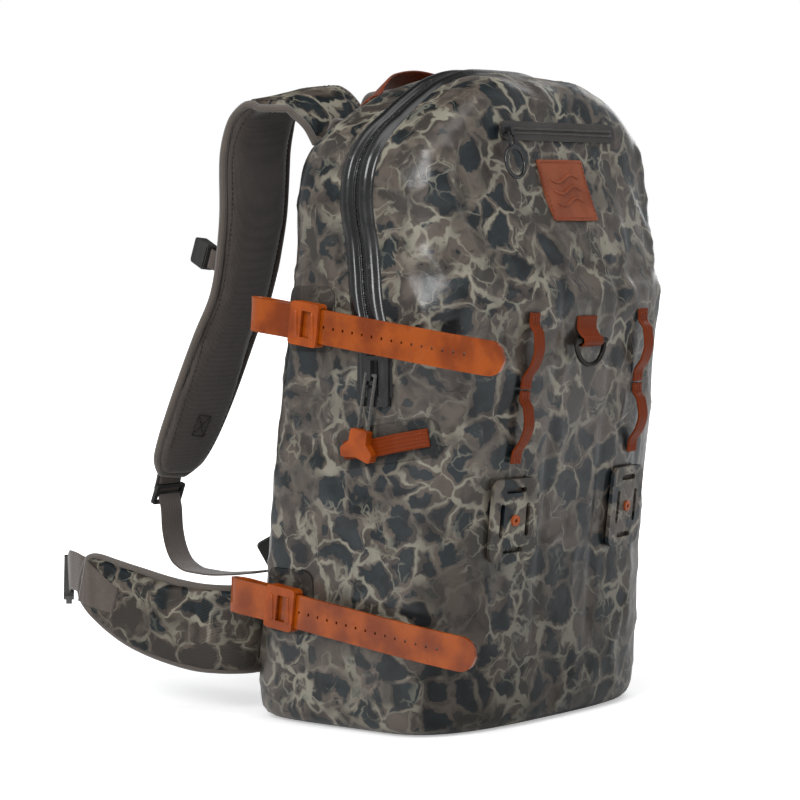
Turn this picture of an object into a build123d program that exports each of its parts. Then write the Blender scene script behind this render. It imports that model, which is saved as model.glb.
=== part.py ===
from build123d import *
import math
import os

# Submersible fishing backpack, in millimetres. +Z is up, +Y is the wearer's side, -Y the front
# face and -X the wearer's left. The origin is on the base, under the middle of the pack's width.
# The back wall leans forward about 7 degrees, as on a full pack that is set down.

os.makedirs("parts", exist_ok=True)

# ---------------------------------------------------------------- driving dimensions
WALL = 3.0            # welded shell, coated fabric with its liner
ZIP_END_Z = 262.0     # the main zip's two lower ends, and the fold line of the front flap
ZIP_HALF = 14.0       # half width of the main zip's tape pair
CHAIN_HALF = 2.6      # half width of the zip's toothed chain
CHAIN_GAP = 0.1       # from the zip line to each half chain
PANEL_X = 118.0       # weld lines between face panels and side gussets
BASE_Z = 24.0         # top of the welded base tray
BACK_SPLIT_Z = 430.0  # weld between back panel and top gusset
WEB_25 = 25.0         # 1 inch webbing
WEB_16 = 16.0         # 5/8 inch webbing
STRAP_T = 12.0        # shoulder strap foam with its covers
BACK_POWER = 7.0      # roundness exponent of the back corners
FLARE_DEPTH = 45.0    # depth over which the front half reaches its extra width
REACH = 400.0         # cutting blocks this far out pass the whole pack
ABOVE = 520.0         # a height above the pack
BELOW = -1.0          # a height below the pack

# z, half width, front depth, back depth, front corner exponent, extra half width of the front
STATIONS = [
    (0.0, 143.0, 66.0, 121.0, 3.2, 0.0),
    (7.0, 148.5, 70.5, 126.0, 3.2, 0.0),
    (30.0, 151.0, 73.0, 129.0, 3.2, 0.0),
    (100.0, 151.5, 76.5, 121.5, 3.2, 0.0),
    (204.0, 152.0, 88.0, 109.0, 3.2, 0.0),
    (300.0, 152.0, 99.5, 95.0, 3.2, 0.0),
    (335.0, 150.5, 101.5, 90.5, 3.2, 0.0),
    (373.0, 147.5, 91.0, 86.0, 3.2, 0.0),
    (405.0, 149.0, 79.5, 84.0, 3.5, 0.0),
    (430.0, 146.0, 75.0, 81.0, 4.2, 0.0),
    (450.0, 133.5, 71.0, 76.0, 5.0, 4.0),
    (467.0, 112.0, 68.0, 69.0, 5.2, 8.0),
    (481.5, 90.0, 63.5, 58.0, 5.2, 11.0),
    (492.5, 70.0, 55.0, 43.0, 5.0, 11.0),
    (502.0, 38.0, 36.0, 21.0, 4.0, 6.0),
]
TOP_Z = STATIONS[-1][0]

# z, y of the main zip's middle: it climbs towards the back, then crosses the top
ZIP_LINE = [
    (-10.0, -12.0), (262.0, -12.0), (285.0, -12.0), (300.0, -10.0), (330.0, -2.0), (367.0, 4.0),
    (404.0, 9.0), (440.0, 7.0), (470.0, 2.0), (490.0, 0.0), (ABOVE, 0.0),
]


# ---------------------------------------------------------------- outline of the pack
def station(z):
    """The columns of STATIONS after z, interpolated at height z."""
    z = min(max(z, STATIONS[0][0]), TOP_Z)
    i = max(0, min(len(STATIONS) - 2, sum(1 for s in STATIONS if s[0] <= z) - 1))
    low, high = STATIONS[i], STATIONS[i + 1]
    t = (z - low[0]) / (high[0] - low[0])
    return [a + (b - a) * t for a, b in zip(low[1:], high[1:])]


def arc_points(width, depth, power, count=6):
    """Points of |x/width|^power + |y/depth|^power = 1 from the x axis to the y axis.

    They are closer together round the corner."""
    points = []
    for k in range(count + 1):
        u = 2.0 * k / count - 1.0
        angle = math.pi / 4 * (1 + math.copysign(abs(u) ** 1.5, u))
        c, s = max(0.0, math.cos(angle)), max(0.0, math.sin(angle))
        radius = (c**power + s**power) ** (-1.0 / power)
        points.append((width * c * radius, depth * s * radius))
    points[0], points[-1] = (width, 0.0), (0.0, depth)
    return points


def ring(z, inset, ring_z):
    """The outline at height z, drawn in by inset and laid at height ring_z."""
    width, front_d, back_d, power, flare = station(z)
    width, front_d, back_d = width - inset, front_d - inset, back_d - inset
    front = [(x * (1 + flare / width * min(1.0, y / FLARE_DEPTH)), y)
             for x, y in arc_points(width, front_d, power)]
    back = arc_points(width, back_d, BACK_POWER)
    points = back[:-1] + [(-x, y) for x, y in reversed(back)][:-1]
    points += [(-x, -y) for x, y in front[:-1]] + [(x, -y) for x, y in reversed(front)][:-1]
    return [Vector(x, y, ring_z) for x, y in points]


def side_x(z, y):
    """Half width of the outer shell at height z and depth y."""
    width, front_d, back_d, power, _ = station(z)
    depth, power = (front_d, power) if y < 0 else (back_d, BACK_POWER)
    return width * max(0.0, 1 - abs(y / depth) ** power) ** (1 / power)


def front_y(z, x):
    width, depth, _, power, flare = station(z)
    return -depth * max(0.0, 1 - abs(x / (width + flare)) ** power) ** (1 / power)


def back_y(z):
    """Depth of the back face at mid width."""
    return station(z)[2]


def front_frame(z, x, step=2.0):
    """A point of the front face, the direction across the face there, and its outward normal."""
    point = Vector(x, front_y(z, x), z)
    across = Vector(2 * step, front_y(z, x + step) - front_y(z, x - step), 0)
    upward = Vector(0, front_y(z + step, x) - front_y(z - step, x), 2 * step)
    return point, across.normalized(), across.cross(upward).normalized()


def zip_y(z):
    for (z0, y0), (z1, y1) in zip(ZIP_LINE, ZIP_LINE[1:]):
        if z <= z1:
            return y0 + (y1 - y0) * (z - z0) / (z1 - z0)
    return 0.0


# ---------------------------------------------------------------- building helpers
def is_flat(points):
    normal = (points[1] - points[0]).cross(points[2] - points[0])
    if normal.length < 1e-9:
        return False
    normal = normal.normalized()
    return all(abs((p - points[0]).dot(normal)) < 1e-5 for p in points[3:])


def skin(rings):
    """A closed, flat-faced solid through sections with the same number of corners."""
    polys = []
    for a, b in zip(rings, rings[1:]):
        for k in range(len(a)):
            j = (k + 1) % len(a)
            quad = [a[k], a[j], b[j], b[k]]
            polys += [quad] if is_flat(quad) else [quad[:3], [quad[0], quad[2], quad[3]]]
    polys += [list(reversed(rings[0])), list(rings[-1])]
    # a negative volume means that the faces point inwards
    volume = sum(p[0].dot(p[i].cross(p[i + 1])) for p in polys for i in range(1, len(p) - 1))
    if volume < 0:
        polys = [list(reversed(p)) for p in polys]
    return Solid(Shell([Face(Wire.make_polygon(p, close=True)) for p in polys]))


def rectangle(centre, u, v, half_u, half_v):
    c, u, v = Vector(*centre), Vector(*u) * half_u, Vector(*v) * half_v
    return [c + u + v, c - u + v, c - u - v, c + u - v]


def band(points, widths, thicknesses, across):
    """A flat strap through points. across is its width direction.

    Each of the last three is one value, or a list with one per point."""
    count = len(points)
    points = [Vector(*p) for p in points]
    columns = [c if isinstance(c, list) else [c] * count for c in (widths, thicknesses, across)]
    sections = []
    for i, (width, thickness, side) in enumerate(zip(*columns)):
        along = (points[min(count - 1, i + 1)] - points[max(0, i - 1)]).normalized()
        side = Vector(*side).normalized()
        normal = along.cross(side).normalized()
        sections.append(rectangle(points[i], side, normal, width / 2, thickness / 2))
    return skin(sections)


def on_back(z0, z1, offset, half_w, half_t):
    """A sheet that follows the back face, its middle at offset outside it."""
    zs = [z0] + [s[0] for s in STATIONS if z0 + 4 < s[0] < z1 - 4] + [z1]
    return skin([rectangle((0, back_y(z) + offset, z), (1, 0, 0), (0, 1, 0), half_w, half_t)
                 for z in zs])


def beside_zip(offset_a, offset_b, z0=ZIP_END_Z):
    """Everything between two offsets from the zip line, above z0, right across the pack."""
    zs = [z0] + [z for z, _ in ZIP_LINE if z > z0]
    a, b = [[(zip_y(z) + offset if abs(offset) < REACH else offset, z) for z in zs]
            for offset in (offset_a, offset_b)]
    return skin([[Vector(x, y, z) for y, z in a + b[::-1]] for x in (-REACH, REACH)])


def block(x0=-REACH, x1=REACH, y0=-REACH, y1=REACH, z0=BELOW, z1=ABOVE):
    return Pos((x0 + x1) / 2, (y0 + y1) / 2, (z0 + z1) / 2) * Box(x1 - x0, y1 - y0, z1 - z0)


def rounded_box(x, y, z, radius):
    return fillet(Box(x, y, z).edges().filter_by(Axis.Z), radius)


def place(shape, origin, x_dir, z_dir):
    plane = Plane(origin=Vector(*origin), x_dir=Vector(*x_dir), z_dir=Vector(*z_dir))
    return plane.location * shape


def mirror_x(shape):
    return mirror(shape, about=Plane.YZ)


parts = {}


def put(name, *shapes):
    solids = [solid for shape in shapes for solid in shape.solids()]
    assert solids, name
    parts[name] = Compound(children=solids) if len(solids) > 1 else solids[0]


def put_both(name, *shapes):
    """One part from left-hand shapes and their mirror images."""
    put(name, *[side for shape in shapes for side in (shape, mirror_x(shape))])


def put_pair(name, *shapes):
    """A left part, and its mirror image as the right part."""
    put(f"{name}_left", *shapes)
    put(f"{name}_right", *[mirror_x(shape) for shape in shapes])


# ---------------------------------------------------------------- welded panels of the shell
outer = skin([ring(s[0], 0.0, s[0]) for s in STATIONS])
inner = skin([ring(s[0], WALL, WALL + s[0] * (TOP_Z - 2 * WALL) / TOP_Z) for s in STATIONS])
shell = outer - inner

low = shell & block(z1=ZIP_END_Z)
low_mid = low & block(-PANEL_X, PANEL_X, z1=ZIP_END_Z)
rear = shell & beside_zip(ZIP_HALF, REACH)
rear_mid = rear & block(-PANEL_X, PANEL_X, z0=ZIP_END_Z)
fore = shell & beside_zip(-REACH, -ZIP_HALF)

put("bottom_panel", low_mid & block(z1=BASE_Z))
put("front_lower_panel", low_mid & block(y1=0, z0=BASE_Z, z1=ZIP_END_Z))
back_low = low_mid & block(y0=0, z0=BASE_Z, z1=ZIP_END_Z)
put("back_panel", back_low + (rear_mid & block(z0=ZIP_END_Z, z1=BACK_SPLIT_Z)))
put("top_gusset", rear_mid & block(z0=BACK_SPLIT_Z))
put("flap_front_panel", fore & block(-PANEL_X, PANEL_X, y1=0, z0=ZIP_END_Z))
for side, x0, x1 in (("left", -REACH, -PANEL_X), ("right", PANEL_X, REACH)):
    gusset_low = low & block(x0, x1, z1=ZIP_END_Z)
    put(f"gusset_{side}", gusset_low + (rear & block(x0, x1, z0=ZIP_END_Z)))
    put(f"flap_gusset_{side}", fore & block(x0, x1, y1=0, z0=ZIP_END_Z))

# ---------------------------------------------------------------- main zip
# two tapes and two half chains: name, then offsets from the zip line
ZIP_PARTS = [
    ("zip_tape_rear", CHAIN_HALF, ZIP_HALF),
    ("zip_tape_front", -ZIP_HALF, -CHAIN_HALF),
    ("zip_chain_rear", CHAIN_GAP, CHAIN_HALF),
    ("zip_chain_front", -CHAIN_HALF, -CHAIN_GAP),
]
for name, offset_a, offset_b in ZIP_PARTS:
    put(name, shell & beside_zip(offset_a, offset_b, ZIP_END_Z + 0.5))

SLIDER_X = -153.2
SLIDER_Y = zip_y(ZIP_END_Z)
SLIDER_Z = 277.0
DOCK_X = -154.2
DOCK_T = 3.0
RAIL_Y = 12.3         # rails from the zip line
RAIL_W = 5.0
ON_SIDE = Rot(0, 90, 0)  # turns a plate's thickness to X and its length to Z


def zip_dock():
    """Moulded dock over a zip end: a closed foot with two rails that guide the slider home."""
    foot = rounded_box(14.0, 2 * RAIL_Y + RAIL_W, DOCK_T, 3.0)
    dock = Pos(DOCK_X, SLIDER_Y, 257.0) * ON_SIDE * foot
    for side, z, length in ((-1, 275.0, 44.0), (1, 268.0, 30.0)):
        rail = rounded_box(length, RAIL_W, DOCK_T, 1.6)
        dock += Pos(DOCK_X, SLIDER_Y + side * RAIL_Y, z) * ON_SIDE * rail
    return dock


put_both("zip_garages", zip_dock())

# ---------------------------------------------------------------- main zip slider and pull, left
PULL_X, PULL_Z = SLIDER_X - 4.6, 274.0  # pivot
PULL_TILT = 10.0      # the pull hangs a little towards the back
CORD_R = 1.2
CORD_Y = 4.6          # the cord's two legs from its middle
CORD_L = 46.0


def hang(shape):
    """Puts a shape made round its pivot, straight down from it, into its place."""
    return Pos(PULL_X, SLIDER_Y, PULL_Z) * Rot(PULL_TILT, 0, 0) * shape


def zip_slider():
    plate = Pos(SLIDER_X - 1.4, SLIDER_Y, SLIDER_Z) * ON_SIDE * rounded_box(22.0, 13.0, 2.8, 2.0)
    bridge = Pos(SLIDER_X - 4.9, SLIDER_Y, SLIDER_Z) * Box(4.6, 3.4, 15.0)
    bridge = bridge - hang(Rot(90, 0, 0) * Cylinder(CORD_R + 0.08, 10.0))
    return plate + bridge


def pull_cord():
    cord = Rot(90, 0, 0) * Cylinder(CORD_R, 2 * CORD_Y)
    for y in (-CORD_Y, CORD_Y):
        cord += Pos(0, y, 0) * Sphere(CORD_R)
        cord += Pos(0, y, -CORD_L / 2) * Cylinder(CORD_R, CORD_L)
    return cord


def pull_handle():
    # outline, clockwise from the top left corner
    outline = [
        (-8.0, 13), (8.0, 13), (8.5, 3), (15.5, -3.5), (13.5, -10.5),
        (0, -8.0), (-13.5, -10.5), (-15.5, -3.5), (-8.5, 3),
    ]
    with BuildSketch() as sketch:
        Polygon(*outline, align=None)
        fillet(sketch.vertices(), 2.2)
    grip = extrude(sketch.sketch, amount=3.6, both=True)
    grip = place(grip, (-1.9, 0, -55.0), (0, -1, 0), (-1, 0, 0))
    for y in (-CORD_Y, CORD_Y):
        grip -= Pos(0, y, -41.0) * Cylinder(CORD_R + 0.05, 10.1)
    return grip


put("zip_slider", zip_slider())
put("zip_pull_cord", hang(pull_cord()))
put("zip_pull_handle", hang(pull_handle()))

# ---------------------------------------------------------------- front pocket, all on the flap
POCKET_Z = 457.0
POCKET_X0, POCKET_X1 = -80, 76
TAPE_W, TAPE_T = 14.0, 1.6
TAPE_GAP = 1.0
TAPE_STEPS = 6
PIN_R = 1.0           # cross pin of the pocket pull
PIN_Y, PIN_Z = -3.8, 3.0  # pin from the slider's middle
BADGE_Z0, BADGE_Z1 = 389.0, 435.0


def pocket_tape():
    points, across = [], []
    for k in range(TAPE_STEPS + 1):
        x = POCKET_X0 + (POCKET_X1 - POCKET_X0) * k / TAPE_STEPS
        point, along, normal = front_frame(POCKET_Z, x)
        points.append(point + normal * (TAPE_GAP + TAPE_T / 2))
        across.append(normal.cross(along))
    return band(points, TAPE_W, TAPE_T, across)


def on_pocket_zip(shape):
    """Places a shape at the slider's place on the pocket zip, square to X."""
    point, _, normal = front_frame(POCKET_Z, -72)
    normal = Vector(0, normal.Y, normal.Z).normalized()
    return place(shape, point + normal * 5.8, (1, 0, 0), normal)


def pocket_slider():
    body = rounded_box(13.0, 8.0, 2.4, 1.6) + Pos(0, -2.2, 2.7) * Box(2.8, 7.0, 4.0)
    return body - Pos(0, PIN_Y, PIN_Z) * ON_SIDE * Cylinder(PIN_R + 0.08, 12)


def pocket_pull():
    pull = Pos(0, PIN_Y, PIN_Z) * ON_SIDE * Cylinder(PIN_R, 7.2)
    for side in (-1, 1):
        pull += Pos(side * 3.1, -8.6, PIN_Z) * Box(1.8, 11.6, 2.0)
    pull += Pos(0, -13.6, PIN_Z) * Box(8.0, 2.6, 2.0) + Pos(0, -26.0, PIN_Z) * Torus(11.6, 1.5)
    return pull


def front_badge():
    bottom, top = [Vector(0, front_y(z, 0), z) for z in (BADGE_Z0, BADGE_Z1)]
    normal = Vector(1, 0, 0).cross(top - bottom).normalized()
    badge = rounded_box(56.0, BADGE_Z1 - BADGE_Z0, 1.6, 4.0)
    return place(badge, (bottom + top) * 0.5 + normal * 2.4, (1, 0, 0), normal)


put("pocket_zip_tape", pocket_tape())
put("pocket_zip_slider", on_pocket_zip(pocket_slider()))
put("pocket_pull_ring", on_pocket_zip(pocket_pull()))
put("front_badge", front_badge())

# y, z, half width
LINER = [(-57.0, 446, 70), (-66.0, 405, 74), (-76.5, 373, 74), (-84.0, 345, 70)]
put("pocket_liner", skin([rectangle((8, y, z), (1, 0, 0), (0, 1, 0), half_w, 2.0)
                          for y, z, half_w in LINER]))

# ---------------------------------------------------------------- webbing ladders on the front
LADDER_X = 72.0       # at LADDER_TOP, further out below it
LADDER_TOP = 320.0
LADDER_SLANT = 0.05
# z, distance outside the front face
LADDERS = {
    "lower": [(206, 2.6), (214, 2.6), (225, 8.0), (236, 10.0), (248, 7.0), (255, 2.8),
              (260.5, 2.8)],
    "upper": [(264, 2.8), (270, 2.8), (281, 8.4), (293, 10.4), (304, 8.4), (312, 3.0),
              (LADDER_TOP, 3.0)],
}


def ladder(rows):
    points = []
    for z, out in rows:
        x = -LADDER_X - LADDER_SLANT * (LADDER_TOP - z)
        points.append((x, front_y(z, x) - out, z))
    return band(points, 13.0, 2.2, (1, 0, 0))


for level, rows in LADDERS.items():
    put_both(f"lash_ladders_{level}", ladder(rows))

# ---------------------------------------------------------------- D-ring and its tab
RING_X, RING_Y, RING_Z = -6.0, front_y(300.0, 0) - 6.4, 297.0
# y, z down the tab and round the ring's bar
TAB_PATH = [(front_y(314, 0) - 1.6, 314), (front_y(306, 0) - 1.8, 306)]
TAB_PATH += [(RING_Y + dy, RING_Z + dz) for dy, dz in (
    (-0.6, 3.6), (-3.2, 1.8), (-3.4, -1.0), (-1.4, -3.4), (2.2, -3.9))]
put("d_ring_tab", band([(RING_X, y, z) for y, z in TAB_PATH], 26.0, 1.8, (1, 0, 0)))
ring_bow = Rot(90, 0, 0) * Torus(18.5, 2.0) & Pos(0, 0, -15) * Box(60, 12, 30)
put("front_d_ring", Pos(RING_X, RING_Y, RING_Z) * (ON_SIDE * Cylinder(2.15, 41.8) + ring_bow))

# ---------------------------------------------------------------- slotted plates, one rivet each
PLATE_X, PLATE_Z = 74.0, 163.0
RIVET_R = 2.55


def accessory_plate():
    plate = rounded_box(50.0, 64.0, 3.0, 9.0)
    for x in (-14.0, 14.0):
        slot = SlotOverall(26.0, 4.4, rotation=90)
        plate -= Pos(x, 0, 0) * extrude(slot, amount=4, both=True)
    for y in (-23.0, 23.0):
        plate -= Pos(0, y, 0) * extrude(SlotOverall(22.0, 4.2), amount=4, both=True)
    return plate - Cylinder(RIVET_R + 0.05, 8)


def plate_rivet():
    rivet = Cylinder(RIVET_R, 3.1) + Pos(0, 0, 2.4) * Cylinder(4.2, 1.6)
    return rivet - Pos(0, 0, 3.0) * Cylinder(1.4, 4.0)


point, across, normal = front_frame(PLATE_Z, -PLATE_X)
for name, shape in (("accessory_plates", accessory_plate()), ("plate_rivets", plate_rivet())):
    put_both(name, place(shape, point + normal * 2.5, across, normal))

# ---------------------------------------------------------------- grab tabs and haul handle
# side tabs, held while the zip is pulled: y, z, distance outside the shell
GRAB_PATH = [
    (16, 215.9, 1.8), (4, 217.0, 1.8), (-10, 218.6, 1.8), (-20, 220.4, 3.4),
    (-32, 223.0, 5.0), (-43, 225.4, 4.0), (-52, 227.2, 2.6),
]
grab_points = [(-(side_x(z, y) + out), y, z) for y, z, out in GRAB_PATH]
put_both("grab_tabs", band(grab_points, 14.0, 1.8, (0, 0, 1)))

# handle at the top of the back: x, rise, width
HAUL_PATH = [
    (-76, 0.0, 9.0), (-63, 1.5, 10.0), (-50, 8.0, 16.0), (-30, 15.0, 22.0), (0, 18.0, 22.0),
    (30, 15.0, 22.0), (50, 8.0, 16.0), (63, 1.5, 10.0), (76, 0.0, 9.0),
]
put("haul_handle", band([(x, 60.9 + 0.9 * rise, 481.2 + 1.15 * rise) for x, rise, _ in HAUL_PATH],
                        [row[2] for row in HAUL_PATH], 3.0, (0, -0.79, 0.61)))

# ---------------------------------------------------------------- sheets inside the back wall
put("frame_sheet", on_back(44, 420, offset=-6.6, half_w=98.0, half_t=1.2))
put("inner_pocket", on_back(170, 390, offset=-10.4, half_w=88.0, half_t=1.4))


# ---------------------------------------------------------------- pads and yoke outside the back
def pad(x0, x1, z0, z1, thickness):
    sheet = on_back(z0, z1, 0.8 + thickness / 2, (x1 - x0) / 2, thickness / 2)
    return Pos((x0 + x1) / 2, 0, 0) * sheet


put_both("back_pads", pad(-110, -12, 150, 440, 11.0))
put("lumbar_pad", pad(-102, 102, 34, 138, 15.0))
put("harness_yoke", pad(-104, 104, 443, 466, 5.0))

# ---------------------------------------------------------------- shoulder straps
# x, y, z, tilt of the width direction, width
SHOULDER_PATH = [
    (-64.0, 93.0, 452.0, 0.10, 66.0),
    (-67.0, 101.0, 471.0, 0.16, 72.0),
    (-73.0, 120.0, 485.0, 0.22, 76.0),
    (-79.0, 145.0, 484.5, 0.20, 78.0),
    (-82.0, 162.0, 467.0, 0.12, 78.0),
    (-83.5, 168.0, 438.0, 0.05, 78.0),
    (-84.0, 169.0, 400.0, 0.0, 75.0),
    (-84.5, 174.0, 362.0, 0.0, 71.0),
    (-86.0, 181.0, 330.0, 0.0, 68.0),
    (-90.0, 195.0, 296.0, 0.0, 69.0),
    (-95.0, 209.0, 258.0, 0.0, 70.0),
    (-100.0, 222.5, 222.0, 0.0, 67.0),
    (-103.5, 233.5, 196.0, 0.0, 57.0),
    (-105.0, 240.0, 183.0, 0.0, 38.0),
]
put_pair("shoulder_strap", band([row[:3] for row in SHOULDER_PATH],
                                [row[4] for row in SHOULDER_PATH], STRAP_T,
                                [(1.0, 0.0, row[3]) for row in SHOULDER_PATH]))

lock = rounded_box(33.0, 17.0, 3.2, 2.0)
lock = lock - Pos(0, 3.6, 0) * Box(26.2, 4.2, 8) - Pos(0, -3.8, 0) * Box(26.2, 3.6, 8)
put_pair("ladder_lock", place(lock, (-105.5, 244.5, 166.5), (1, 0, 0), (0, 0.93, 0.36)))

# x, y, z from the ladder lock to the lumbar pad
LOWER_WEB_PATH = [
    (-106.0, 240.5, 155.0), (-106.5, 239.0, 140.0), (-107.5, 234.5, 125.0),
    (-109.5, 224.0, 112.0), (-112.0, 207.0, 106.5), (-115.0, 184.0, 106.0),
    (-117.0, 158.0, 108.0), (-117.0, 134.0, 111.0),
]
put_pair("lower_webbing", band(LOWER_WEB_PATH, WEB_25, 2.0, (1, 0, 0)))


# ---------------------------------------------------------------- side-release buckle halves
def along_x(x, size, y=0):
    return Pos(x, y, 0) * Box(*size)


def buckle_female(body, cavity_x, cavity, slot_x, slot):
    return rounded_box(*body) - along_x(cavity_x, cavity) - along_x(slot_x, slot)


def buckle_male(body, slot_x, slot, prong_x, prong_y, prong, tongue_x, tongue):
    half = rounded_box(*body) - along_x(slot_x, slot)
    half += (along_x(prong_x, prong, prong_y) + along_x(prong_x, prong, -prong_y)
             + along_x(tongue_x, tongue))
    return half


# ---------------------------------------------------------------- sternum strap
CHEST_OUT = Vector(0, 0.945, 0.327)   # out of the shoulder strap
CHEST_UP = Vector(0, -0.327, 0.945)   # up along the shoulder strap
CHEST_C = Vector(-90.0, 176.8, 351.0) + CHEST_OUT * 11.0
CHEST_SLOT = (1.8, WEB_16 + 0.8, 12)
chest_slide = rounded_box(28.0, 20.0, 2.6, 2.0)
for x in (9.0, -9.0):
    chest_slide = chest_slide - along_x(x, (3.0, 17.0, 6))
# x, distance out, both from the slide's middle
chest_path = [CHEST_C + CHEST_OUT * out + Vector(x, 0, 0)
              for x, out in ((9, 2.9), (-6, 2.9), (-12, 5.0), (-14.5, 10.0))]
put_pair("sternum_strap", place(chest_slide, CHEST_C, (1, 0, 0), CHEST_OUT),
         band(chest_path, WEB_16, 1.6, CHEST_UP))

chest_female = buckle_female(body=(24.0, 21.0, 8.5, 3.0), cavity_x=3.0, cavity=(20.0, 15.5, 4.8),
                             slot_x=-10.0, slot=CHEST_SLOT)
chest_male = buckle_male(body=(9.0, 21.0, 7.0, 2.0), slot_x=-1.6, slot=CHEST_SLOT,
                         prong_x=11.5, prong_y=6.2, prong=(16.0, 2.4, 3.4),
                         tongue_x=9.5, tongue=(12.0, 2.6, 2.8))
chest_dir = (CHEST_OUT * 0.94 + Vector(0.34, 0, 0)).normalized()


def on_chest_web(shape, distance):
    origin = chest_path[-1] + chest_dir * distance
    return place(shape, origin, chest_dir, CHEST_UP.cross(chest_dir).normalized())


put("sternum_buckle_female", on_chest_web(chest_female, 14.2))
put("sternum_buckle_male", mirror_x(on_chest_web(chest_male, 6.7)))

# ---------------------------------------------------------------- hip belt
# x, y, z, width
HIP_PATH = [
    (-107.0, 135.0, 66.0, 66.0),
    (-124.0, 137.5, 66.0, 67.0),
    (-141.0, 146.0, 66.5, 67.0),
    (-152.5, 163.0, 67.5, 67.0),
    (-158.5, 188.0, 71.0, 66.0),
    (-162.0, 218.0, 77.5, 64.0),
    (-163.5, 246.0, 86.0, 58.0),
    (-163.0, 268.0, 94.0, 50.0),
    (-161.0, 286.0, 100.5, 42.0),
]
put_pair("hip_wing", band([row[:3] for row in HIP_PATH], [row[3] for row in HIP_PATH],
                          13.0, (0, 0, 1)))
HIP_WEB_PATH = [(-160.4, 287.5, 101.0), (-158.4, 298.0, 103.0), (-155.0, 307.0, 103.5),
                (-150.5, 313.0, 102.0)]
put_pair("hip_webbing", band(HIP_WEB_PATH, 32.0, 2.2, (0, 0, 1)))

HIP_SLOT = (2.6, 32.6, 14)
hip_female = buckle_female(body=(34.0, 37.0, 11.0, 4.0), cavity_x=4.0, cavity=(28.0, 29.0, 6.4),
                           slot_x=-14.4, slot=HIP_SLOT)
hip_male = buckle_male(body=(12.0, 37.0, 8.5, 2.6), slot_x=-2.2, slot=HIP_SLOT,
                       prong_x=16.0, prong_y=11.5, prong=(22.0, 3.4, 5.0),
                       tongue_x=13.0, tongue=(16.0, 4.0, 4.0))
hip_dir = Vector(0.62, 0.62, -0.48).normalized()
hip_normal = Vector(-0.70, 0.71, 0.02)
hip_normal = (hip_normal - hip_dir * hip_normal.dot(hip_dir)).normalized()


def on_hip_web(shape, distance):
    origin = Vector(-149.0, 315.5, 100.5) + hip_dir * distance
    return place(shape, origin, hip_dir, hip_normal)


put("hip_buckle_male", on_hip_web(hip_male, 11.8))
put("hip_buckle_female", mirror_x(on_hip_web(hip_female, 22.8)))

# ---------------------------------------------------------------- lash straps, two on each side
LASH_W, LASH_T = 26.0, 3.6
LASH_END_T = 1.2      # thinned where tongue and strap meet
LASH_TIP_W = 16.0
LASH_X = -165.0
LASH_SLOPE = 0.126    # rise towards the back
LASH_LOOP = 50.0      # from the anchor back to the meeting of tongue and strap
LONG_TAIL_Y = -80     # a tail with its tip in front of this is long
# level, z at the buckle, y of anchor, y of buckle, y of the left tip, y of the right tip
# the right-hand straps are pulled through further, so their tails are short
LASHES = [
    ("upper", 311.0, 50.0, 43.0, -138.0, -34.0),
    ("lower", 93.0, 72.0, 68.0, -112.0, -30.0),
]


def lash_points(z_buckle, y_buckle, offsets):
    """Points on a lash line, from pairs of outset in x and y."""
    return [(LASH_X + dx, y, z_buckle + LASH_SLOPE * (y - y_buckle)) for dx, y in offsets]


def lash_anchor(z_buckle, y_anchor, y_buckle):
    """A welded patch with its tongue."""
    y_loop = y_anchor + LASH_LOOP
    path = lash_points(z_buckle, y_buckle, [
        (10.6, y_anchor - 8), (8.6, y_anchor + 4), (8.6, y_anchor + 16),
        (8.4, y_loop - 12), (6.6, y_loop - 4), (3.4, y_loop)])
    tongue = band(path, LASH_W, [LASH_T] * 5 + [LASH_END_T], (0, 0, 1))
    origin = (LASH_X + 12.2, y_anchor - 4, z_buckle + LASH_SLOPE * (y_anchor - y_buckle))
    return tongue + place(rounded_box(44.0, 38.0, 1.4, 6.0), origin, (0, -1, 0), (-1, 0, 0))


def lash_strap(z_buckle, y_anchor, y_buckle, y_tip):
    """The strap that carries on from the tongue, through the buckle to its tip."""
    y_loop = y_anchor + LASH_LOOP
    tail = [(1.0, y_tip + 30)]
    if y_tip < LONG_TAIL_Y:
        tail = [(-1.6, y_buckle - 50), (-0.4, y_tip + 60), (2.2, y_tip + 30)]
    path = lash_points(z_buckle, y_buckle, [
        (2.0, y_loop + 0.2), (-1.6, y_loop - 3), (-3.2, y_loop - 12), (-1.4, y_buckle + 22),
        (-1.4, y_buckle - 22), *tail, (5.0, y_tip + 8), (6.0, y_tip)])
    rest = len(path) - 1
    return band(path, [LASH_W] * rest + [LASH_TIP_W], [LASH_END_T] + [LASH_T] * rest, (0, 0, 1))


def lash_buckle(z_buckle, y_buckle):
    frame = rounded_box(28.0, 33.0, 10.0, 3.0) - Box(40.0, LASH_W + 1.4, LASH_T + 1.0)
    frame = frame - Pos(2.0, 0, 4.0) * Box(9.0, 20.0, 5.0)
    return place(frame, (LASH_X - 1.4, y_buckle, z_buckle), (0, -1, -LASH_SLOPE), (-1, 0, 0))


for level, z, y_anchor, y_buckle, tip_left, tip_right in LASHES:
    put(f"lash_strap_{level}_left", lash_strap(z, y_anchor, y_buckle, tip_left))
    put(f"lash_strap_{level}_right", mirror_x(lash_strap(z, y_anchor, y_buckle, tip_right)))
    put_pair(f"lash_buckle_{level}", lash_buckle(z, y_buckle))
put_both("lash_anchors", *[lash_anchor(*row[1:4]) for row in LASHES])

# ---------------------------------------------------------------- export, over a cleared folder
for old in os.listdir("parts"):
    if old.endswith(".step"):
        os.remove(os.path.join("parts", old))
for name, shape in parts.items():
    export_step(shape, f"parts/{name}.step")
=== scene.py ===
"""A backpack with a hinged front flap, moulded lash straps and a padded harness.

The front faces -y, the wearer's back is at +y, left is -x and the ground is z = 0.
Shapes are worked out in millimetres; make_object turns them into metres.
"""
import math
from collections import namedtuple

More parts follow.
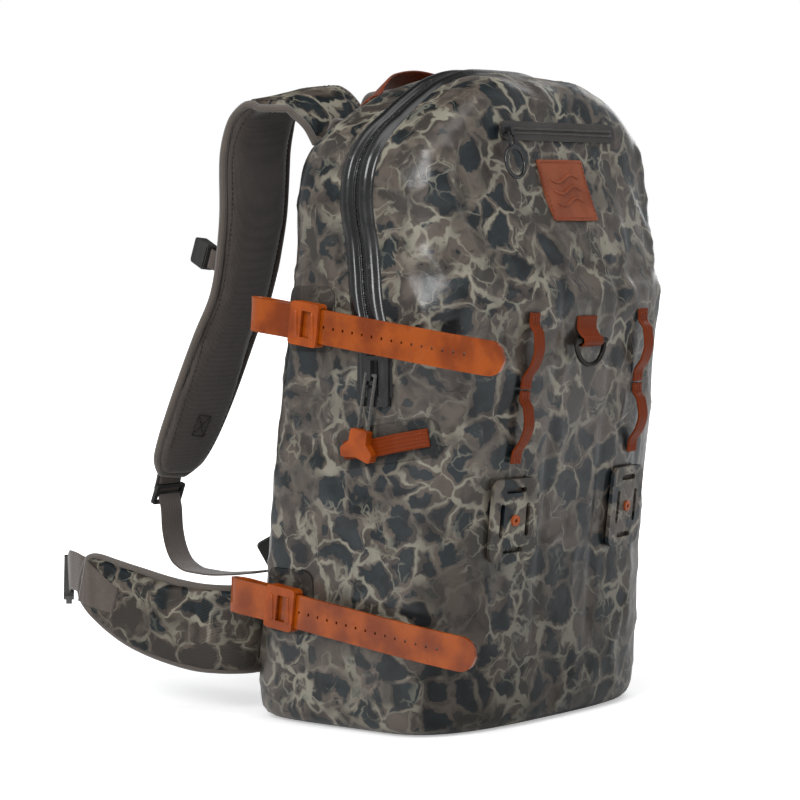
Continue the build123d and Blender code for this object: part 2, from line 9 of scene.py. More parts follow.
import bmesh
import bpy
import numpy as np
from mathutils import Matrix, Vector, noise
from mathutils.bvhtree import BVHTree


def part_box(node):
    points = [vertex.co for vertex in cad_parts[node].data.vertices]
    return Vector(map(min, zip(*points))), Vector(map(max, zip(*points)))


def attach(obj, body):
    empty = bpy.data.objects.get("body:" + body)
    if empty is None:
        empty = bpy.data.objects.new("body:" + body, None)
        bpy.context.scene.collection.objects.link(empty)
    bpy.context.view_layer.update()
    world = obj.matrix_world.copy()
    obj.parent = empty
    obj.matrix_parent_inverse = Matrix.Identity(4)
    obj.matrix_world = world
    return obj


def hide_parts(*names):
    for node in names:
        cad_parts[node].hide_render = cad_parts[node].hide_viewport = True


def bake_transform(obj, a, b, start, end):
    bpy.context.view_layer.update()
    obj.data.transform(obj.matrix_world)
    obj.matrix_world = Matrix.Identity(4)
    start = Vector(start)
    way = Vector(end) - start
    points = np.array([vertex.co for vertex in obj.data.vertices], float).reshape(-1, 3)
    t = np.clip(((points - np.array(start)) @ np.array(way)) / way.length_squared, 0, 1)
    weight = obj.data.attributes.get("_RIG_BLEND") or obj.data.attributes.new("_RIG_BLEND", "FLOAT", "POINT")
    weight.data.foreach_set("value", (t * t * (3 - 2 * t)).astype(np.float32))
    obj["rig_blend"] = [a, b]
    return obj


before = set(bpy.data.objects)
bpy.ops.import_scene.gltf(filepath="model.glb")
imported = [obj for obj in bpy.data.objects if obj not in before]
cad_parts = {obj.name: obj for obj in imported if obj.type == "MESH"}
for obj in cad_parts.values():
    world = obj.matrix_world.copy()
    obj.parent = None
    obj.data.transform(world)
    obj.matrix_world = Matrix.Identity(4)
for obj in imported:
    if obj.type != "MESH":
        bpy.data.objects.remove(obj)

MM = 0.001
LEFT_RIGHT = (("left", -1), ("right", 1))     # sign of x on each side
MIRRORED = (("left", 1), ("right", -1))       # for tables drawn on the left: factor on x
COLLECTION = bpy.context.scene.collection


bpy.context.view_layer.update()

# ------------------------------------------------------------------ the pack's form
# height, half width, front depth, back depth, front corner exponent, extra front half width
STATIONS = np.array([
    (1.2, 4.0, 3.0, 3.0, 3.2, 0), (0.5, 66.0, 30.0, 66.0, 3.2, 0),
    (0.5, 134.0, 60.5, 113.0, 3.2, 0), (2.0, 142.5, 66.0, 121.0, 3.2, 0),
    (7.0, 148.0, 70.5, 126.0, 3.2, 0), (16.0, 150.4, 72.4, 128.4, 3.2, 0),
    (30.0, 151.0, 73.0, 129.0, 3.2, 0), (60.0, 151.2, 74.2, 126.5, 3.2, 0),
    (100.0, 151.5, 76.5, 121.5, 3.2, 0), (150.0, 151.8, 81.5, 115.5, 3.2, 0),
    (204.0, 152.0, 88.0, 109.0, 3.2, 0), (250.0, 152.0, 93.6, 102.0, 3.2, 0),
    (300.0, 152.0, 99.5, 95.0, 3.2, 0), (322.0, 151.4, 101.8, 92.0, 3.2, 0),
    (335.0, 150.5, 101.4, 90.5, 3.2, 0), (350.0, 148.8, 97.6, 88.6, 3.2, 0),
    (373.0, 147.5, 91.0, 86.0, 3.2, 0), (390.0, 148.6, 85.0, 85.0, 3.3, 0),
    (405.0, 149.0, 79.8, 84.0, 3.5, 0), (420.0, 148.2, 76.6, 82.4, 3.9, 0),
    (430.0, 146.0, 75.0, 81.0, 4.2, 0), (441.0, 140.8, 72.8, 78.6, 4.7, 2),
    (450.3, 133.5, 71.0, 76.0, 5.0, 4), (459.5, 123.4, 69.5, 72.6, 5.1, 6),
    (466.8, 112.4, 68.0, 69.0, 5.2, 8), (475.1, 100.4, 65.8, 63.6, 5.2, 9.7),
    (481.5, 90.0, 63.2, 58.0, 5.2, 10.8), (488.0, 78.6, 59.0, 50.5, 5.1, 11.2),
    (492.6, 69.0, 54.0, 43.0, 5.0, 10.6), (497.2, 55.0, 45.5, 32.5, 4.6, 8.6),
    (500.4, 41.0, 35.0, 22.0, 4.2, 6.4), (501.8, 27.0, 23.0, 13.5, 4.0, 4.0),
    (502.2, 3.0, 2.4, 1.6, 3.6, 0.4)])
BACK_EXPONENT = 7.0
FOLD_Z = 262.0        # where the flap hinges
FOLD_STATION = 11     # the last station below the fold
ZIP_GAP = 12.0        # half width of the opening along the main zip
# height, depth of the main zip's middle
ZIP_LINE = np.array([
    (250.0, -12.0), (262.0, -12.0), (285.0, -12.0), (300.0, -10.0), (330.0, -2.0), (367.0, 4.0),
    (404.0, 9.0), (440.0, 7.0), (470.0, 2.0), (490.0, 0.0), (520.0, 0.0)])


def pchip(xs, ys, query):
    """Monotone cubic through the points, held at both ends."""
    xs, ys = np.asarray(xs, float), np.asarray(ys, float)
    query = np.atleast_1d(np.asarray(query, float))
    gap = np.diff(xs)
    slope = np.diff(ys) / gap
    tangent = np.zeros_like(ys)
    for i in range(1, len(xs) - 1):
        if slope[i - 1] * slope[i] > 0:
            before, after = 2 * gap[i] + gap[i - 1], gap[i] + 2 * gap[i - 1]
            tangent[i] = (before + after) / (before / slope[i - 1] + after / slope[i])
    tangent[0], tangent[-1] = slope[0], slope[-1]
    query = np.clip(query, xs[0], xs[-1])
    i = np.clip(np.searchsorted(xs, query, side="right") - 1, 0, len(xs) - 2)
    t = (query - xs[i]) / gap[i]
    return ((2 * t**3 - 3 * t**2 + 1) * ys[i] + (t**3 - 2 * t**2 + t) * gap[i] * tangent[i]
            + (3 * t**2 - 2 * t**3) * ys[i + 1] + (t**3 - t**2) * gap[i] * tangent[i + 1])


# distance along the silhouette from the middle of the base to the top
STATION_ARC = np.concatenate([
    [0], np.cumsum(np.hypot(np.diff(STATIONS[:, 0]), np.diff(STATIONS[:, 1])) + 1e-3)])
WALL = STATIONS[STATIONS[:, 0] >= 1.9]
WALL = WALL[np.argsort(WALL[:, 0])]


def section(z):
    """Half width, front depth, back depth, front exponent and extra front width at a height."""
    return [float(pchip(WALL[:, 0], WALL[:, k], z)[0]) for k in range(1, 6)]


def superellipse(ratio, exponent):
    return max(0.0, 1 - abs(ratio) ** exponent) ** (1 / exponent)


def front_y(z, x):
    half, depth, _, exponent, extra = section(z)
    return -depth * superellipse(x / (half + extra), exponent)


def back_y(z, x=0.0):
    half, _, depth, _, _ = section(z)
    return depth * superellipse(x / half, BACK_EXPONENT)


def side_x(z, y):
    half, front_depth, back_depth, front_exponent, _ = section(z)
    if y < 0:
        return half * superellipse(y / front_depth, front_exponent)
    return half * superellipse(y / back_depth, BACK_EXPONENT)


def zip_y(z):
    return float(pchip(*ZIP_LINE.T, z)[0])


def smooth(start, end, x):
    t = min(1.0, max(0.0, (x - start) / (end - start)))
    return t * t * (3 - 2 * t)


def bell(distance, width):
    return math.exp(-((distance / width) ** 2))


def segment_distance(x, z, start, end):
    """Distance to a segment in the xz plane, and how far along it the nearest point lies."""
    (ax, az), (bx, bz) = start, end
    t = ((x - ax) * (bx - ax) + (z - az) * (bz - az)) / ((bx - ax) ** 2 + (bz - az) ** 2)
    t = min(1.0, max(0.0, t))
    return math.hypot(x - ax - t * (bx - ax), z - az - t * (bz - az)), t


# Front creases as (x, z) ends, drawn on the left and mirrored.
# start, end, height, reach, fades as (zero at, full at) along the crease
RIDGES = (
    ((-122.0, 452.0), (-127.0, 408.0), 3.0, 6.0, ((0.0, 0.25),)),
    ((-127.0, 408.0), (-110.0, 350.0), 4.4, 6.5, ((1.05, 0.85),)),
    ((-118.0, 342.0), (-134.0, 318.0), 3.0, 8.0, ()),
    ((-97.0, 180.0), (-92.0, 52.0), 3.0, 9.0, ((0.0, 0.2), (1.0, 0.8))),
)
# start, end, depth, width
GROOVES = (
    ((-37.0, 338.0), (-35.0, 70.0), 1.8, 5.0),
    ((-93.0, 330.0), (-93.0, 190.0), 1.4, 4.5),
)
CROSS_GROOVE = ((-92.0, 347.0), (92.0, 347.0))
CALM_X, CALM_Z, CALM_RADIUS = 74.0, 163.0, 42.0   # discs low on the front with less relief


def front_creases(x, z):
    height = 0.0
    for sign in (-1, 1):
        for start, end, rise, reach, fades in RIDGES:
            distance, t = segment_distance(x * sign, z, start, end)
            ridge = rise * math.exp(-distance / reach)
            for fade in fades:
                ridge *= smooth(*fade, t)
            height += ridge
        for start, end, depth, width in GROOVES:
            height -= depth * bell(segment_distance(x * sign, z, start, end)[0], width)
    height -= 2.4 * bell(segment_distance(x, z, *CROSS_GROOVE)[0], 6.0)
    return height + 1.6 * bell(z - 333.0, 10.0) * smooth(110, 90, abs(x))


def relief(x, y, z):
    """How far the fabric stands off its plain form: soft dents, folds and welded edges."""
    p = Vector((x, y, z)) * 0.001
    height = 2.0 * noise.noise(p * 11 + Vector((3.1, 0.4, 7.7)))
    height += 0.9 * noise.noise(p * 27 + Vector((1.7, 5.2, 0.3)))
    fold_noise = noise.noise(p * 13 + Vector((9.3, 2.2, 4.1))) + 0.35 * noise.noise(p * 31)
    height += 1.5 * max(0.0, 1.0 - abs(fold_noise) * 5.0) ** 1.5
    height += 0.22 * noise.noise(p * 90)
    if y < -20:
        height += front_creases(x, z)
    if y > 20 and z > 40:
        height += 1.6 * bell(abs(x) - 132.0, 5.0)
    height += 1.3 * bell(z - 31.0, 2.6)
    if z > 240:   # flat beside the zip
        near_zip = 1 - smooth(10, 30, abs(y - zip_y(z)))
        height *= 1 - near_zip * smooth(240, 262, z)
    if y < 0:
        for sign in (-1, 1):
            distance = math.hypot(x - sign * CALM_X, z - CALM_Z)
            height *= 0.25 + 0.75 * smooth(CALM_RADIUS * 0.6, CALM_RADIUS * 1.3, distance)
    if z < 8:
        height *= smooth(1.0, 8.0, z)
    return height


BENT = "bent"                                                   # bends from pack to flap
BEND_START, BEND_END = (0, -0.0955, 0.262), (0, -0.0955, 0.300)   # metres


def settle(obj, body, replaces=()):
    """Says what the piece moves with and hides the CAD parts it stands for."""
    if body == BENT:
        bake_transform(obj, "pack", "front_flap", start=BEND_START, end=BEND_END)
    else:
        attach(obj, body)
    if replaces:
        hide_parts(*replaces)


# ------------------------------------------------------------------ mesh helpers
def vertex_coords(mesh):
    coords = np.zeros(len(mesh.vertices) * 3, np.float32)
    mesh.vertices.foreach_get("co", coords)
    return coords.reshape(-1, 3)


def shade_smooth(mesh):
    mesh.polygons.foreach_set("use_smooth", [True] * len(mesh.polygons))


def mark_rest(obj):
    """Keeps where each vertex is at rest, so a pattern stays put when the fabric moves."""
    attributes = obj.data.attributes
    rest = attributes.get("rest_pos") or attributes.new("rest_pos", "FLOAT_VECTOR", "POINT")
    rest.data.foreach_set("vector", vertex_coords(obj.data).ravel())


def make_object(name, verts, faces, materials, uvs=None, rest=True):
    """A smooth object from vertices and UVs in millimetres."""
    mesh = bpy.data.meshes.new(name)
    mesh.from_pydata((np.asarray(verts, float) * MM).tolist(), [], faces)
    mesh.update()
    for material in materials if isinstance(materials, list) else [materials]:
        mesh.materials.append(material)
    if uvs is not None:
        uvs = np.asarray(uvs, float) * MM
        layer = mesh.uv_layers.new(name="UVMap")
        for loop in mesh.loops:
            layer.data[loop.index].uv = uvs[loop.vertex_index]
    shade_smooth(mesh)
    obj = bpy.data.objects.new(name, mesh)
    COLLECTION.objects.link(obj)
    if rest:
        mark_rest(obj)
    return obj


def edit_mesh(obj, change):
    bm = bmesh.new()
    bm.from_mesh(obj.data)
    change(bm)
    bm.to_mesh(obj.data)
    bm.free()


def face_outward(obj):
    edit_mesh(obj, lambda bm: bmesh.ops.recalc_face_normals(bm, faces=bm.faces[:]))


def shifted(faces, base):
    return [[base + i for i in face] for face in faces]


def grid_faces(rows, cols, closed=False, flip=False):
    faces = []
    for r in range(rows - 1):
        for c in range(cols if closed else cols - 1):
            d = (c + 1) % cols
            quad = [r * cols + c, r * cols + d, (r + 1) * cols + d, (r + 1) * cols + c]
            faces.append(quad[::-1] if flip else quad)
    return faces


def sweep_faces(rows, sides):
    """A closed tube of rings with flat caps."""
    caps = [list(range(sides))[::-1], [(rows - 1) * sides + j for j in range(sides)]]
    return grid_faces(rows, sides, closed=True) + caps


def sheet_faces(rows, cols):
    """Two grids joined round the rim; also gives the rim's indices in the first grid."""
    count = rows * cols
    rim = list(range(cols)) + [i * cols + cols - 1 for i in range(1, rows)]
    rim += [(rows - 1) * cols + j for j in range(cols - 2, -1, -1)]
    rim += [i * cols for i in range(rows - 2, 0, -1)]
    faces = grid_faces(rows, cols) + shifted(grid_faces(rows, cols, flip=True), count)
    faces += [[a, a + count, b + count, b] for a, b in zip(rim, rim[1:] + rim[:1])]
    return faces, rim


def resample(points, count):
    """Even steps along the first three columns; every column is carried along."""
    points = np.asarray(points, float)
    steps = np.linalg.norm(np.diff(points[:, :3], axis=0), axis=1)
    lengths = np.concatenate([[0], np.cumsum(steps)])
    arc = np.linspace(0, lengths[-1], count)
    columns = [pchip(lengths, points[:, k], arc) for k in range(points.shape[1])]
    return np.stack(columns, 1), arc


def directions(path, across):
    """Tangent, width and thickness directions along a path."""
    tangent = np.gradient(path, axis=0)
    tangent /= np.linalg.norm(tangent, axis=1)[:, None]
    across = np.broadcast_to(np.asarray(across, float), path.shape).copy()
    across -= tangent * (across * tangent).sum(1)[:, None]
    across /= np.linalg.norm(across, axis=1)[:, None]
    return tangent, across, np.cross(tangent, across)


Band = namedtuple("Band", "obj path across normal widths thicks arc")


def band(name, points, width, thick, across, materials, rows, power=10.0, sides=28,
         round_ends=False):
    """A strap with soft edges swept along points; width and thick may be one value per point."""
    points = np.asarray(points, float)
    count = len(points)
    columns = [points, np.broadcast_to(width, count), np.broadcast_to(thick, count),
               np.broadcast_to(across, (count, 3))]
    table, arc = resample(np.column_stack(columns), rows)
    path, widths, thicks = table[:, :3], table[:, 3], table[:, 4]
    _, across, normal = directions(path, table[:, 5:])
    angle = np.linspace(0, 2 * np.pi, sides, endpoint=False)
    cosine, sine = np.cos(angle), np.sin(angle)
    ring_x = np.sign(cosine) * np.abs(cosine) ** (2 / power)
    ring_y = np.sign(sine) * np.abs(sine) ** (2 / 2.6)
    verts, uvs = [], []
    for i in range(rows):
        end = 1.0
        if round_ends:
            for distance in (arc[i], arc[-1] - arc[i]):
                reach = min(1, distance / (widths[i] * 0.3 + 1e-6))
                end = min(end, math.sqrt(max(0.02, 1 - (1 - reach) ** 2)))
        half_width = widths[i] * (0.72 + 0.28 * end) / 2
        half_thick = thicks[i] * (0.55 + 0.45 * end) / 2
        for x, y in zip(ring_x, ring_y):
            verts.append(path[i] + across[i] * x * half_width + normal[i] * y * half_thick)
            uvs.append((arc[i], x * half_width))
    obj = make_object(name, verts, sweep_faces(rows, sides), materials, uvs)
    obj["arc"] = float(arc[-1])
    return Band(obj, path, across, normal, widths, thicks, arc)


def tube(name, points, radius, material, rows, closed=False):
    """A round cord along points; open ends are drawn in."""
    sides = 10
    points = np.asarray(points, float)
    if closed:
        points = np.concatenate([points, points[:1]])
    path, arc = resample(points, rows)
    tangent = np.gradient(path, axis=0)
    tangent /= np.linalg.norm(tangent, axis=1)[:, None] + 1e-9
    across = np.cross(tangent[0], np.array([0.13, 0.27, 0.95]))
    across /= np.linalg.norm(across)
    verts, uvs = [], []
    for i in range(rows):
        across = across - tangent[i] * (across @ tangent[i])
        across /= np.linalg.norm(across)
        normal = np.cross(tangent[i], across)
        from_end = min(i, rows - 1 - i)
        ring = radius if closed else radius * min(1.0, 0.35 + from_end * 0.65)
        for j in range(sides):
            a = 2 * math.pi * j / sides
            verts.append(path[i] + (across * math.cos(a) + normal * math.sin(a)) * ring)
            uvs.append((arc[i], a * radius))
    return make_object(name, verts, sweep_faces(rows, sides), material, uvs)


def stitch_run(name, points, normals, material, length, gap, radius, lift):
    """A row of separate stitches, each a little sunk at its ends."""
    rings, sides, sunk = 5, 6, -0.25
    table, arc = resample(np.concatenate([np.asarray(points, float),
                                          np.asarray(normals, float)], 1), 400)
    points, normals = table[:, :3], table[:, 3:]
    verts, faces = [], []
    start = 0.0
    while start + length < arc[-1]:
        stitch = []
        for k in range(rings):
            at = start + length * k / (rings - 1)
            i = min(max(np.searchsorted(arc, at), 1), len(arc) - 1)
            f = (at - arc[i - 1]) / (arc[i] - arc[i - 1] + 1e-9)
            point = points[i - 1] * (1 - f) + points[i] * f
            normal = normals[i] / (np.linalg.norm(normals[i]) + 1e-9)
            stitch.append((point + normal * (lift if 0 < k < rings - 1 else sunk), normal))
        along = stitch[-1][0] - stitch[0][0]
        along /= np.linalg.norm(along) + 1e-9
        faces += shifted(grid_faces(rings, sides, closed=True), len(verts))
        for point, normal in stitch:
            side = np.cross(along, normal)
            for j in range(sides):
                a = 2 * math.pi * j / sides
                verts.append(point + (side * math.cos(a) + normal * math.sin(a)) * radius)
        start += length + gap
    return make_object(name, verts, faces, material)


def apply_modifiers(obj):
    graph = bpy.context.evaluated_depsgraph_get()
    mesh = bpy.data.meshes.new_from_object(obj.evaluated_get(graph))
    obj.modifiers.clear()
    old = obj.data
    obj.data = mesh
    bpy.data.meshes.remove(old)


def bevel(obj, width, angle=35):
    edge = obj.modifiers.new("edge", "BEVEL")
    edge.width = width * MM
    edge.segments = 2
    edge.limit_method = "ANGLE"
    edge.angle_limit = math.radians(angle)
    edge.use_clamp_overlap = True
    shade_smooth(obj.data)
    obj.modifiers.new("wn", "WEIGHTED_NORMAL").keep_sharp = True


# ------------------------------------------------------------------ materials
def lin(r, g, b):
    """An sRGB colour (0 to 255) as linear RGBA."""
    def channel(c):
        c = c / 255
        return c / 12.92 if c <= 0.04045 else ((c + 0.055) / 1.055) ** 2.4
    return (channel(r), channel(g), channel(b), 1.0)


class Shader:
    """Short calls for building a Principled material; each returns an output socket."""

    def __init__(self, name):
        self.material = bpy.data.materials.new(name)
        self.material.use_nodes = True
        self.tree = self.material.node_tree
        self.principled = self.tree.nodes["Principled BSDF"]

    def node(self, kind, inputs=None, **properties):
        node = self.tree.nodes.new(kind)
        for key, value in properties.items():
            setattr(node, key, value)
        for key, value in (inputs or {}).items():
            self.connect(node, key, value)
        return node

    def connect(self, node, key, value):
        if isinstance(value, bpy.types.NodeSocket):
            self.tree.links.new(value, node.inputs[key])
        else:
            node.inputs[key].default_value = value

    def math(self, operation, a, b=0.0, c=0.0):
        return self.node("ShaderNodeMath", {0: a, 1: b, 2: c}, operation=operation).outputs[0]

    def times(self, a, b):
        return self.math("MULTIPLY", a, b)

    def linear(self, value, gain, offset):
        return self.math("MULTIPLY_ADD", value, gain, offset)

    def mix(self, factor, a, b):
        return self.node("ShaderNodeMix", {0: factor, 6: a, 7: b}, data_type="RGBA").outputs[2]

    def step(self, value, lo, hi, at_lo=0.0, at_hi=1.0):
        return self.node("ShaderNodeMapRange", {0: value, 1: lo, 2: hi, 3: at_lo, 4: at_hi},
                         interpolation_type="SMOOTHSTEP").outputs[0]

    def noise(self, place, scale, detail=2.0, rough=0.5, output=0):
        inputs = {"Vector": place, "Scale": scale, "Detail": detail, "Roughness": rough}
        return self.node("ShaderNodeTexNoise", inputs).outputs[output]

    def voronoi(self, place, scale, output, feature="F1", randomness=1.0):
        inputs = {"Vector": place, "Scale": scale, "Randomness": randomness}
        return self.node("ShaderNodeTexVoronoi", inputs, feature=feature).outputs[output]

    def place(self, rest=True):
        if rest:
            attribute = self.node("ShaderNodeAttribute", attribute_name="rest_pos")
            return attribute.outputs["Vector"]
        return self.node("ShaderNodeTexCoord").outputs["Object"]

    def vector(self, operation, inputs):
        return self.node("ShaderNodeVectorMath", inputs, operation=operation).outputs[0]

    def warp(self, place, scale, amount):
        wander = self.noise(place, scale, output=1)
        centred = self.vector("SUBTRACT", {0: wander, 1: (0.5, 0.5, 0.5)})
        return self.vector("ADD", {0: place, 1: self.vector("SCALE", {0: centred,
                                                                      "Scale": amount})})

    def bump(self, height, strength, distance, normal=None):
        inputs = {"Height": height, "Strength": strength, "Distance": distance}
        if normal is not None:
            inputs["Normal"] = normal
        return self.node("ShaderNodeBump", inputs).outputs[0]

    def split(self, vector):
        return self.node("ShaderNodeSeparateXYZ", {0: vector}).outputs

    def split_colour(self, colour):
        return self.node("ShaderNodeSeparateColor", {0: colour}).outputs

    def surface_normal(self):
        return self.split(self.node("ShaderNodeNewGeometry").outputs["Normal"])

    def dull_top(self):
        """Faces that look up shine less than the walls."""
        return self.step(self.surface_normal()[2], lo=0.45, hi=0.85, at_lo=1.0, at_hi=0.08)

    def finish(self, **inputs):
        for key, value in inputs.items():
            self.connect(self.principled, key.replace("_", " "), value)
        return self.material


def camo(name, rest=True, gloss=0.34, weave=False, dark=1.0, coat=0.5):
    """Dark islands on taupe inside a broken net of pale lines; dark scales the colours."""
    t = Shader(name)

    def tone(*rgb):
        return lin(*(c * dark for c in rgb))

    place = t.place(rest)
    bent = t.warp(t.warp(place, scale=38.0, amount=0.024), scale=95.0, amount=0.0085)
    bent_more = t.warp(bent, scale=62.0, amount=0.010)

    # islands: some of the cells, drawn in from their borders with frayed edges
    drift = t.noise(place, scale=12.0)
    cell = t.split_colour(t.voronoi(bent, scale=40.0, output="Color"))
    edge = t.voronoi(bent, scale=40.0, output="Distance", feature="DISTANCE_TO_EDGE")
    fray = t.linear(t.noise(bent, scale=210.0, detail=3.0, rough=0.6), gain=0.16, offset=-0.08)
    inset = t.linear(t.noise(place, scale=55.0), gain=0.34, offset=-0.05)
    island = t.step(t.math("SUBTRACT", t.math("ADD", edge, fray), inset), lo=-0.012, hi=0.03)
    lottery = t.math("ADD", cell[0], t.linear(drift, gain=0.5, offset=-0.25))
    island = t.times(island, t.step(lottery, lo=0.30, hi=0.34))

    # smaller flecks in the ground between them
    fleck_distance = t.voronoi(bent_more, scale=78.0, output="Distance")
    fleck_cell = t.split_colour(t.voronoi(bent_more, scale=78.0, output="Color"))
    fleck = t.times(t.step(t.math("ADD", fleck_distance, fray), lo=0.40, hi=0.30),
                    t.step(fleck_cell[1], lo=0.56, hi=0.6))
    island = t.math("MAXIMUM", island, t.times(fleck, 0.9))

    # pale lines on the cell borders, uneven in thickness and broken between
    thick = t.linear(t.noise(bent_more, scale=48.0, detail=3.0, rough=0.6),
                     gain=0.30, offset=-0.108)
    line = t.step(t.math("SUBTRACT", edge, thick), lo=0.035, hi=-0.03)
    strength = t.step(t.noise(bent, scale=22.0), lo=0.40, hi=0.60)
    fine_edge = t.voronoi(bent_more, scale=66.0, output="Distance", feature="DISTANCE_TO_EDGE")
    fine_thick = t.linear(t.noise(bent, scale=70.0), gain=0.30, offset=-0.11)
    fine_line = t.times(t.step(t.math("SUBTRACT", fine_edge, fine_thick), lo=0.03, hi=-0.03),
                        t.step(t.noise(bent, scale=26.0, detail=1.0), lo=0.50, hi=0.62))
    vein = t.math("MAXIMUM", t.times(line, t.linear(strength, gain=0.62, offset=0.10)),
                  t.times(fine_line, 0.42))

    taupe = t.mix(t.step(t.noise(bent, scale=60.0, detail=3.0), lo=0.36, hi=0.64),
                  tone(56, 50, 45), tone(86, 77, 69))
    teal = t.mix(t.step(t.noise(bent_more, scale=60.0, detail=3.0), lo=0.35, hi=0.65),
                 tone(14, 19, 21), tone(30, 38, 41))
    teal = t.mix(t.step(cell[2], lo=0.76, hi=0.8), teal, tone(54, 50, 45))
    colour = t.mix(island, taupe, teal)
    colour = t.mix(t.times(vein, 0.82), colour, tone(158, 155, 138))

    # soft dents under a fine diagonal grain
    grain = t.node("ShaderNodeTexWave", {"Vector": place, "Scale": 260.0, "Distortion": 0.8},
                   bands_direction="DIAGONAL").outputs["Fac"]
    height = t.math("ADD", t.times(grain, 0.8 if weave else 0.25),
                    t.noise(place, scale=420.0, detail=3.0))
    dents = t.bump(t.noise(place, scale=46.0, detail=4.0, rough=0.6),
                   strength=0.22, distance=0.004)
    normal = t.bump(height, strength=0.35 if weave else 0.10, distance=0.0006, normal=dents)
    rough = t.step(t.noise(place, scale=30.0, detail=4.0, rough=0.65), lo=0.3, hi=0.7,
                   at_lo=gloss - 0.07, at_hi=gloss + 0.10)

    # painted shade: the coated front is darkened towards its foot
    low = t.step(t.split(place)[2], lo=0.01, hi=0.26, at_lo=1.0, at_hi=0.0)
    front = 0.0
    if rest and not weave:
        front = t.step(t.surface_normal()[1], lo=-0.35, hi=-0.8)
    painted_foot_shade = t.times(low, front)
    # painted shade: front faces near the foot are mixed towards near black
    colour = t.mix(t.times(painted_foot_shade, 0.46), colour, lin(12, 11, 10))
    up = t.dull_top()
    return t.finish(
        Base_Color=colour, Roughness=rough, Normal=normal, Coat_Roughness=0.22,
        Specular_IOR_Level=t.times(up, t.linear(painted_foot_shade, gain=-0.16, offset=0.28)),
        Coat_Weight=t.times(up, t.linear(painted_foot_shade, gain=-0.6 * coat, offset=coat)))


def coated(name, a, b, rough=0.3, coat=0.4, rest=True, bumpy=0.12, scale=300.0, sss=0.0,
           spec=0.5, wear=(200, 195, 185), metallic=None):
    """Two close tones with pale scuffs and a fine grain."""
    t = Shader(name)
    place = t.place(rest)
    colour = t.mix(t.step(t.noise(place, scale=38.0, detail=3.0), lo=0.35, hi=0.65),
                   lin(*a), lin(*b))
    scuff = t.noise(t.warp(place, scale=90.0, amount=0.01), scale=120.0, detail=4.0, rough=0.7)
    colour = t.mix(t.times(t.step(scuff, lo=0.62, hi=0.78), 0.16), colour, lin(*wear))
    height = t.math("ADD", t.noise(place, scale=scale, detail=3.0),
                    t.times(t.noise(place, scale=40.0), 1.6))
    normal = t.bump(height, strength=bumpy, distance=0.0009)
    uneven = t.step(t.noise(place, scale=55.0, detail=4.0, rough=0.6), lo=0.3, hi=0.75,
                    at_lo=rough - 0.05, at_hi=rough + 0.14)
    up = t.dull_top()
    t.finish(Base_Color=colour, Roughness=uneven, Normal=normal, Coat_Roughness=0.12,
             Specular_IOR_Level=t.times(up, spec), Coat_Weight=t.times(up, coat))
    if sss:
        t.finish(Subsurface_Weight=sss, Subsurface_Radius=(0.008, 0.003, 0.001),
                 Subsurface_Scale=1.0)
    if metallic is not None:
        t.finish(Metallic=metallic)
    return t.material


def webbing(name, a, b, uv=True, rough=0.75, sheen=0.4, pitch=0.0016, spec=0.5):
    """Woven band: a herringbone of two crossed waves over lengthwise ribs."""
    t = Shader(name)
    if uv:
        along, across = t.split(t.node("ShaderNodeUVMap").outputs[0])[:2]
    else:
        along, _, across = t.split(t.place(rest=False))[:3]
    waves = 2 * math.pi / pitch
    rising = t.math("SINE", t.times(t.math("ADD", along, across), waves))
    falling = t.math("SINE", t.times(t.math("SUBTRACT", along, across), waves))
    rib = t.math("SINE", t.times(across, waves * 0.55))
    weave = t.math("ADD", t.times(t.times(rising, falling), 0.6), t.times(rib, 0.4))
    weave = t.linear(weave, gain=0.5, offset=0.5)
    place = t.place(uv)
    fuzz = t.noise(place, scale=900.0, detail=3.0, rough=0.7)
    colour = t.mix(t.linear(weave, gain=0.7, offset=t.times(fuzz, 0.3)), lin(*a), lin(*b))
    stain = t.step(t.noise(place, scale=30.0, detail=3.0), lo=0.4, hi=0.8, at_hi=0.22)
    colour = t.mix(stain, colour, lin(*[c * 0.6 for c in a]))
    normal = t.bump(t.math("ADD", weave, t.times(fuzz, 0.5)), strength=0.45, distance=0.0006)
    return t.finish(Base_Color=colour, Roughness=rough, Normal=normal, Specular_IOR_Level=spec,
                    Sheen_Weight=sheen, Sheen_Roughness=0.5)


def knit(name, a, b):
    """Padding cover: a fine knitted face with a soft sheen."""
    t = Shader(name)
    place = t.place()
    loops = t.voronoi(place, scale=700.0, output="Distance", randomness=0.25)
    colour = t.mix(t.step(loops, lo=0.2, hi=0.7), lin(*b), lin(*a))
    stain = t.step(t.noise(place, scale=60.0, detail=4.0, rough=0.6),
                   lo=0.4, hi=0.75, at_hi=0.35)
    colour = t.mix(stain, colour, lin(*[c * 0.72 for c in a]))
    dents = t.bump(t.noise(place, scale=40.0, detail=3.0), strength=0.25, distance=0.003)
    normal = t.bump(loops, strength=0.5, distance=0.0005, normal=dents)
    return t.finish(Base_Color=colour, Roughness=0.85, Normal=normal, Sheen_Weight=0.35,
                    Sheen_Roughness=0.45)


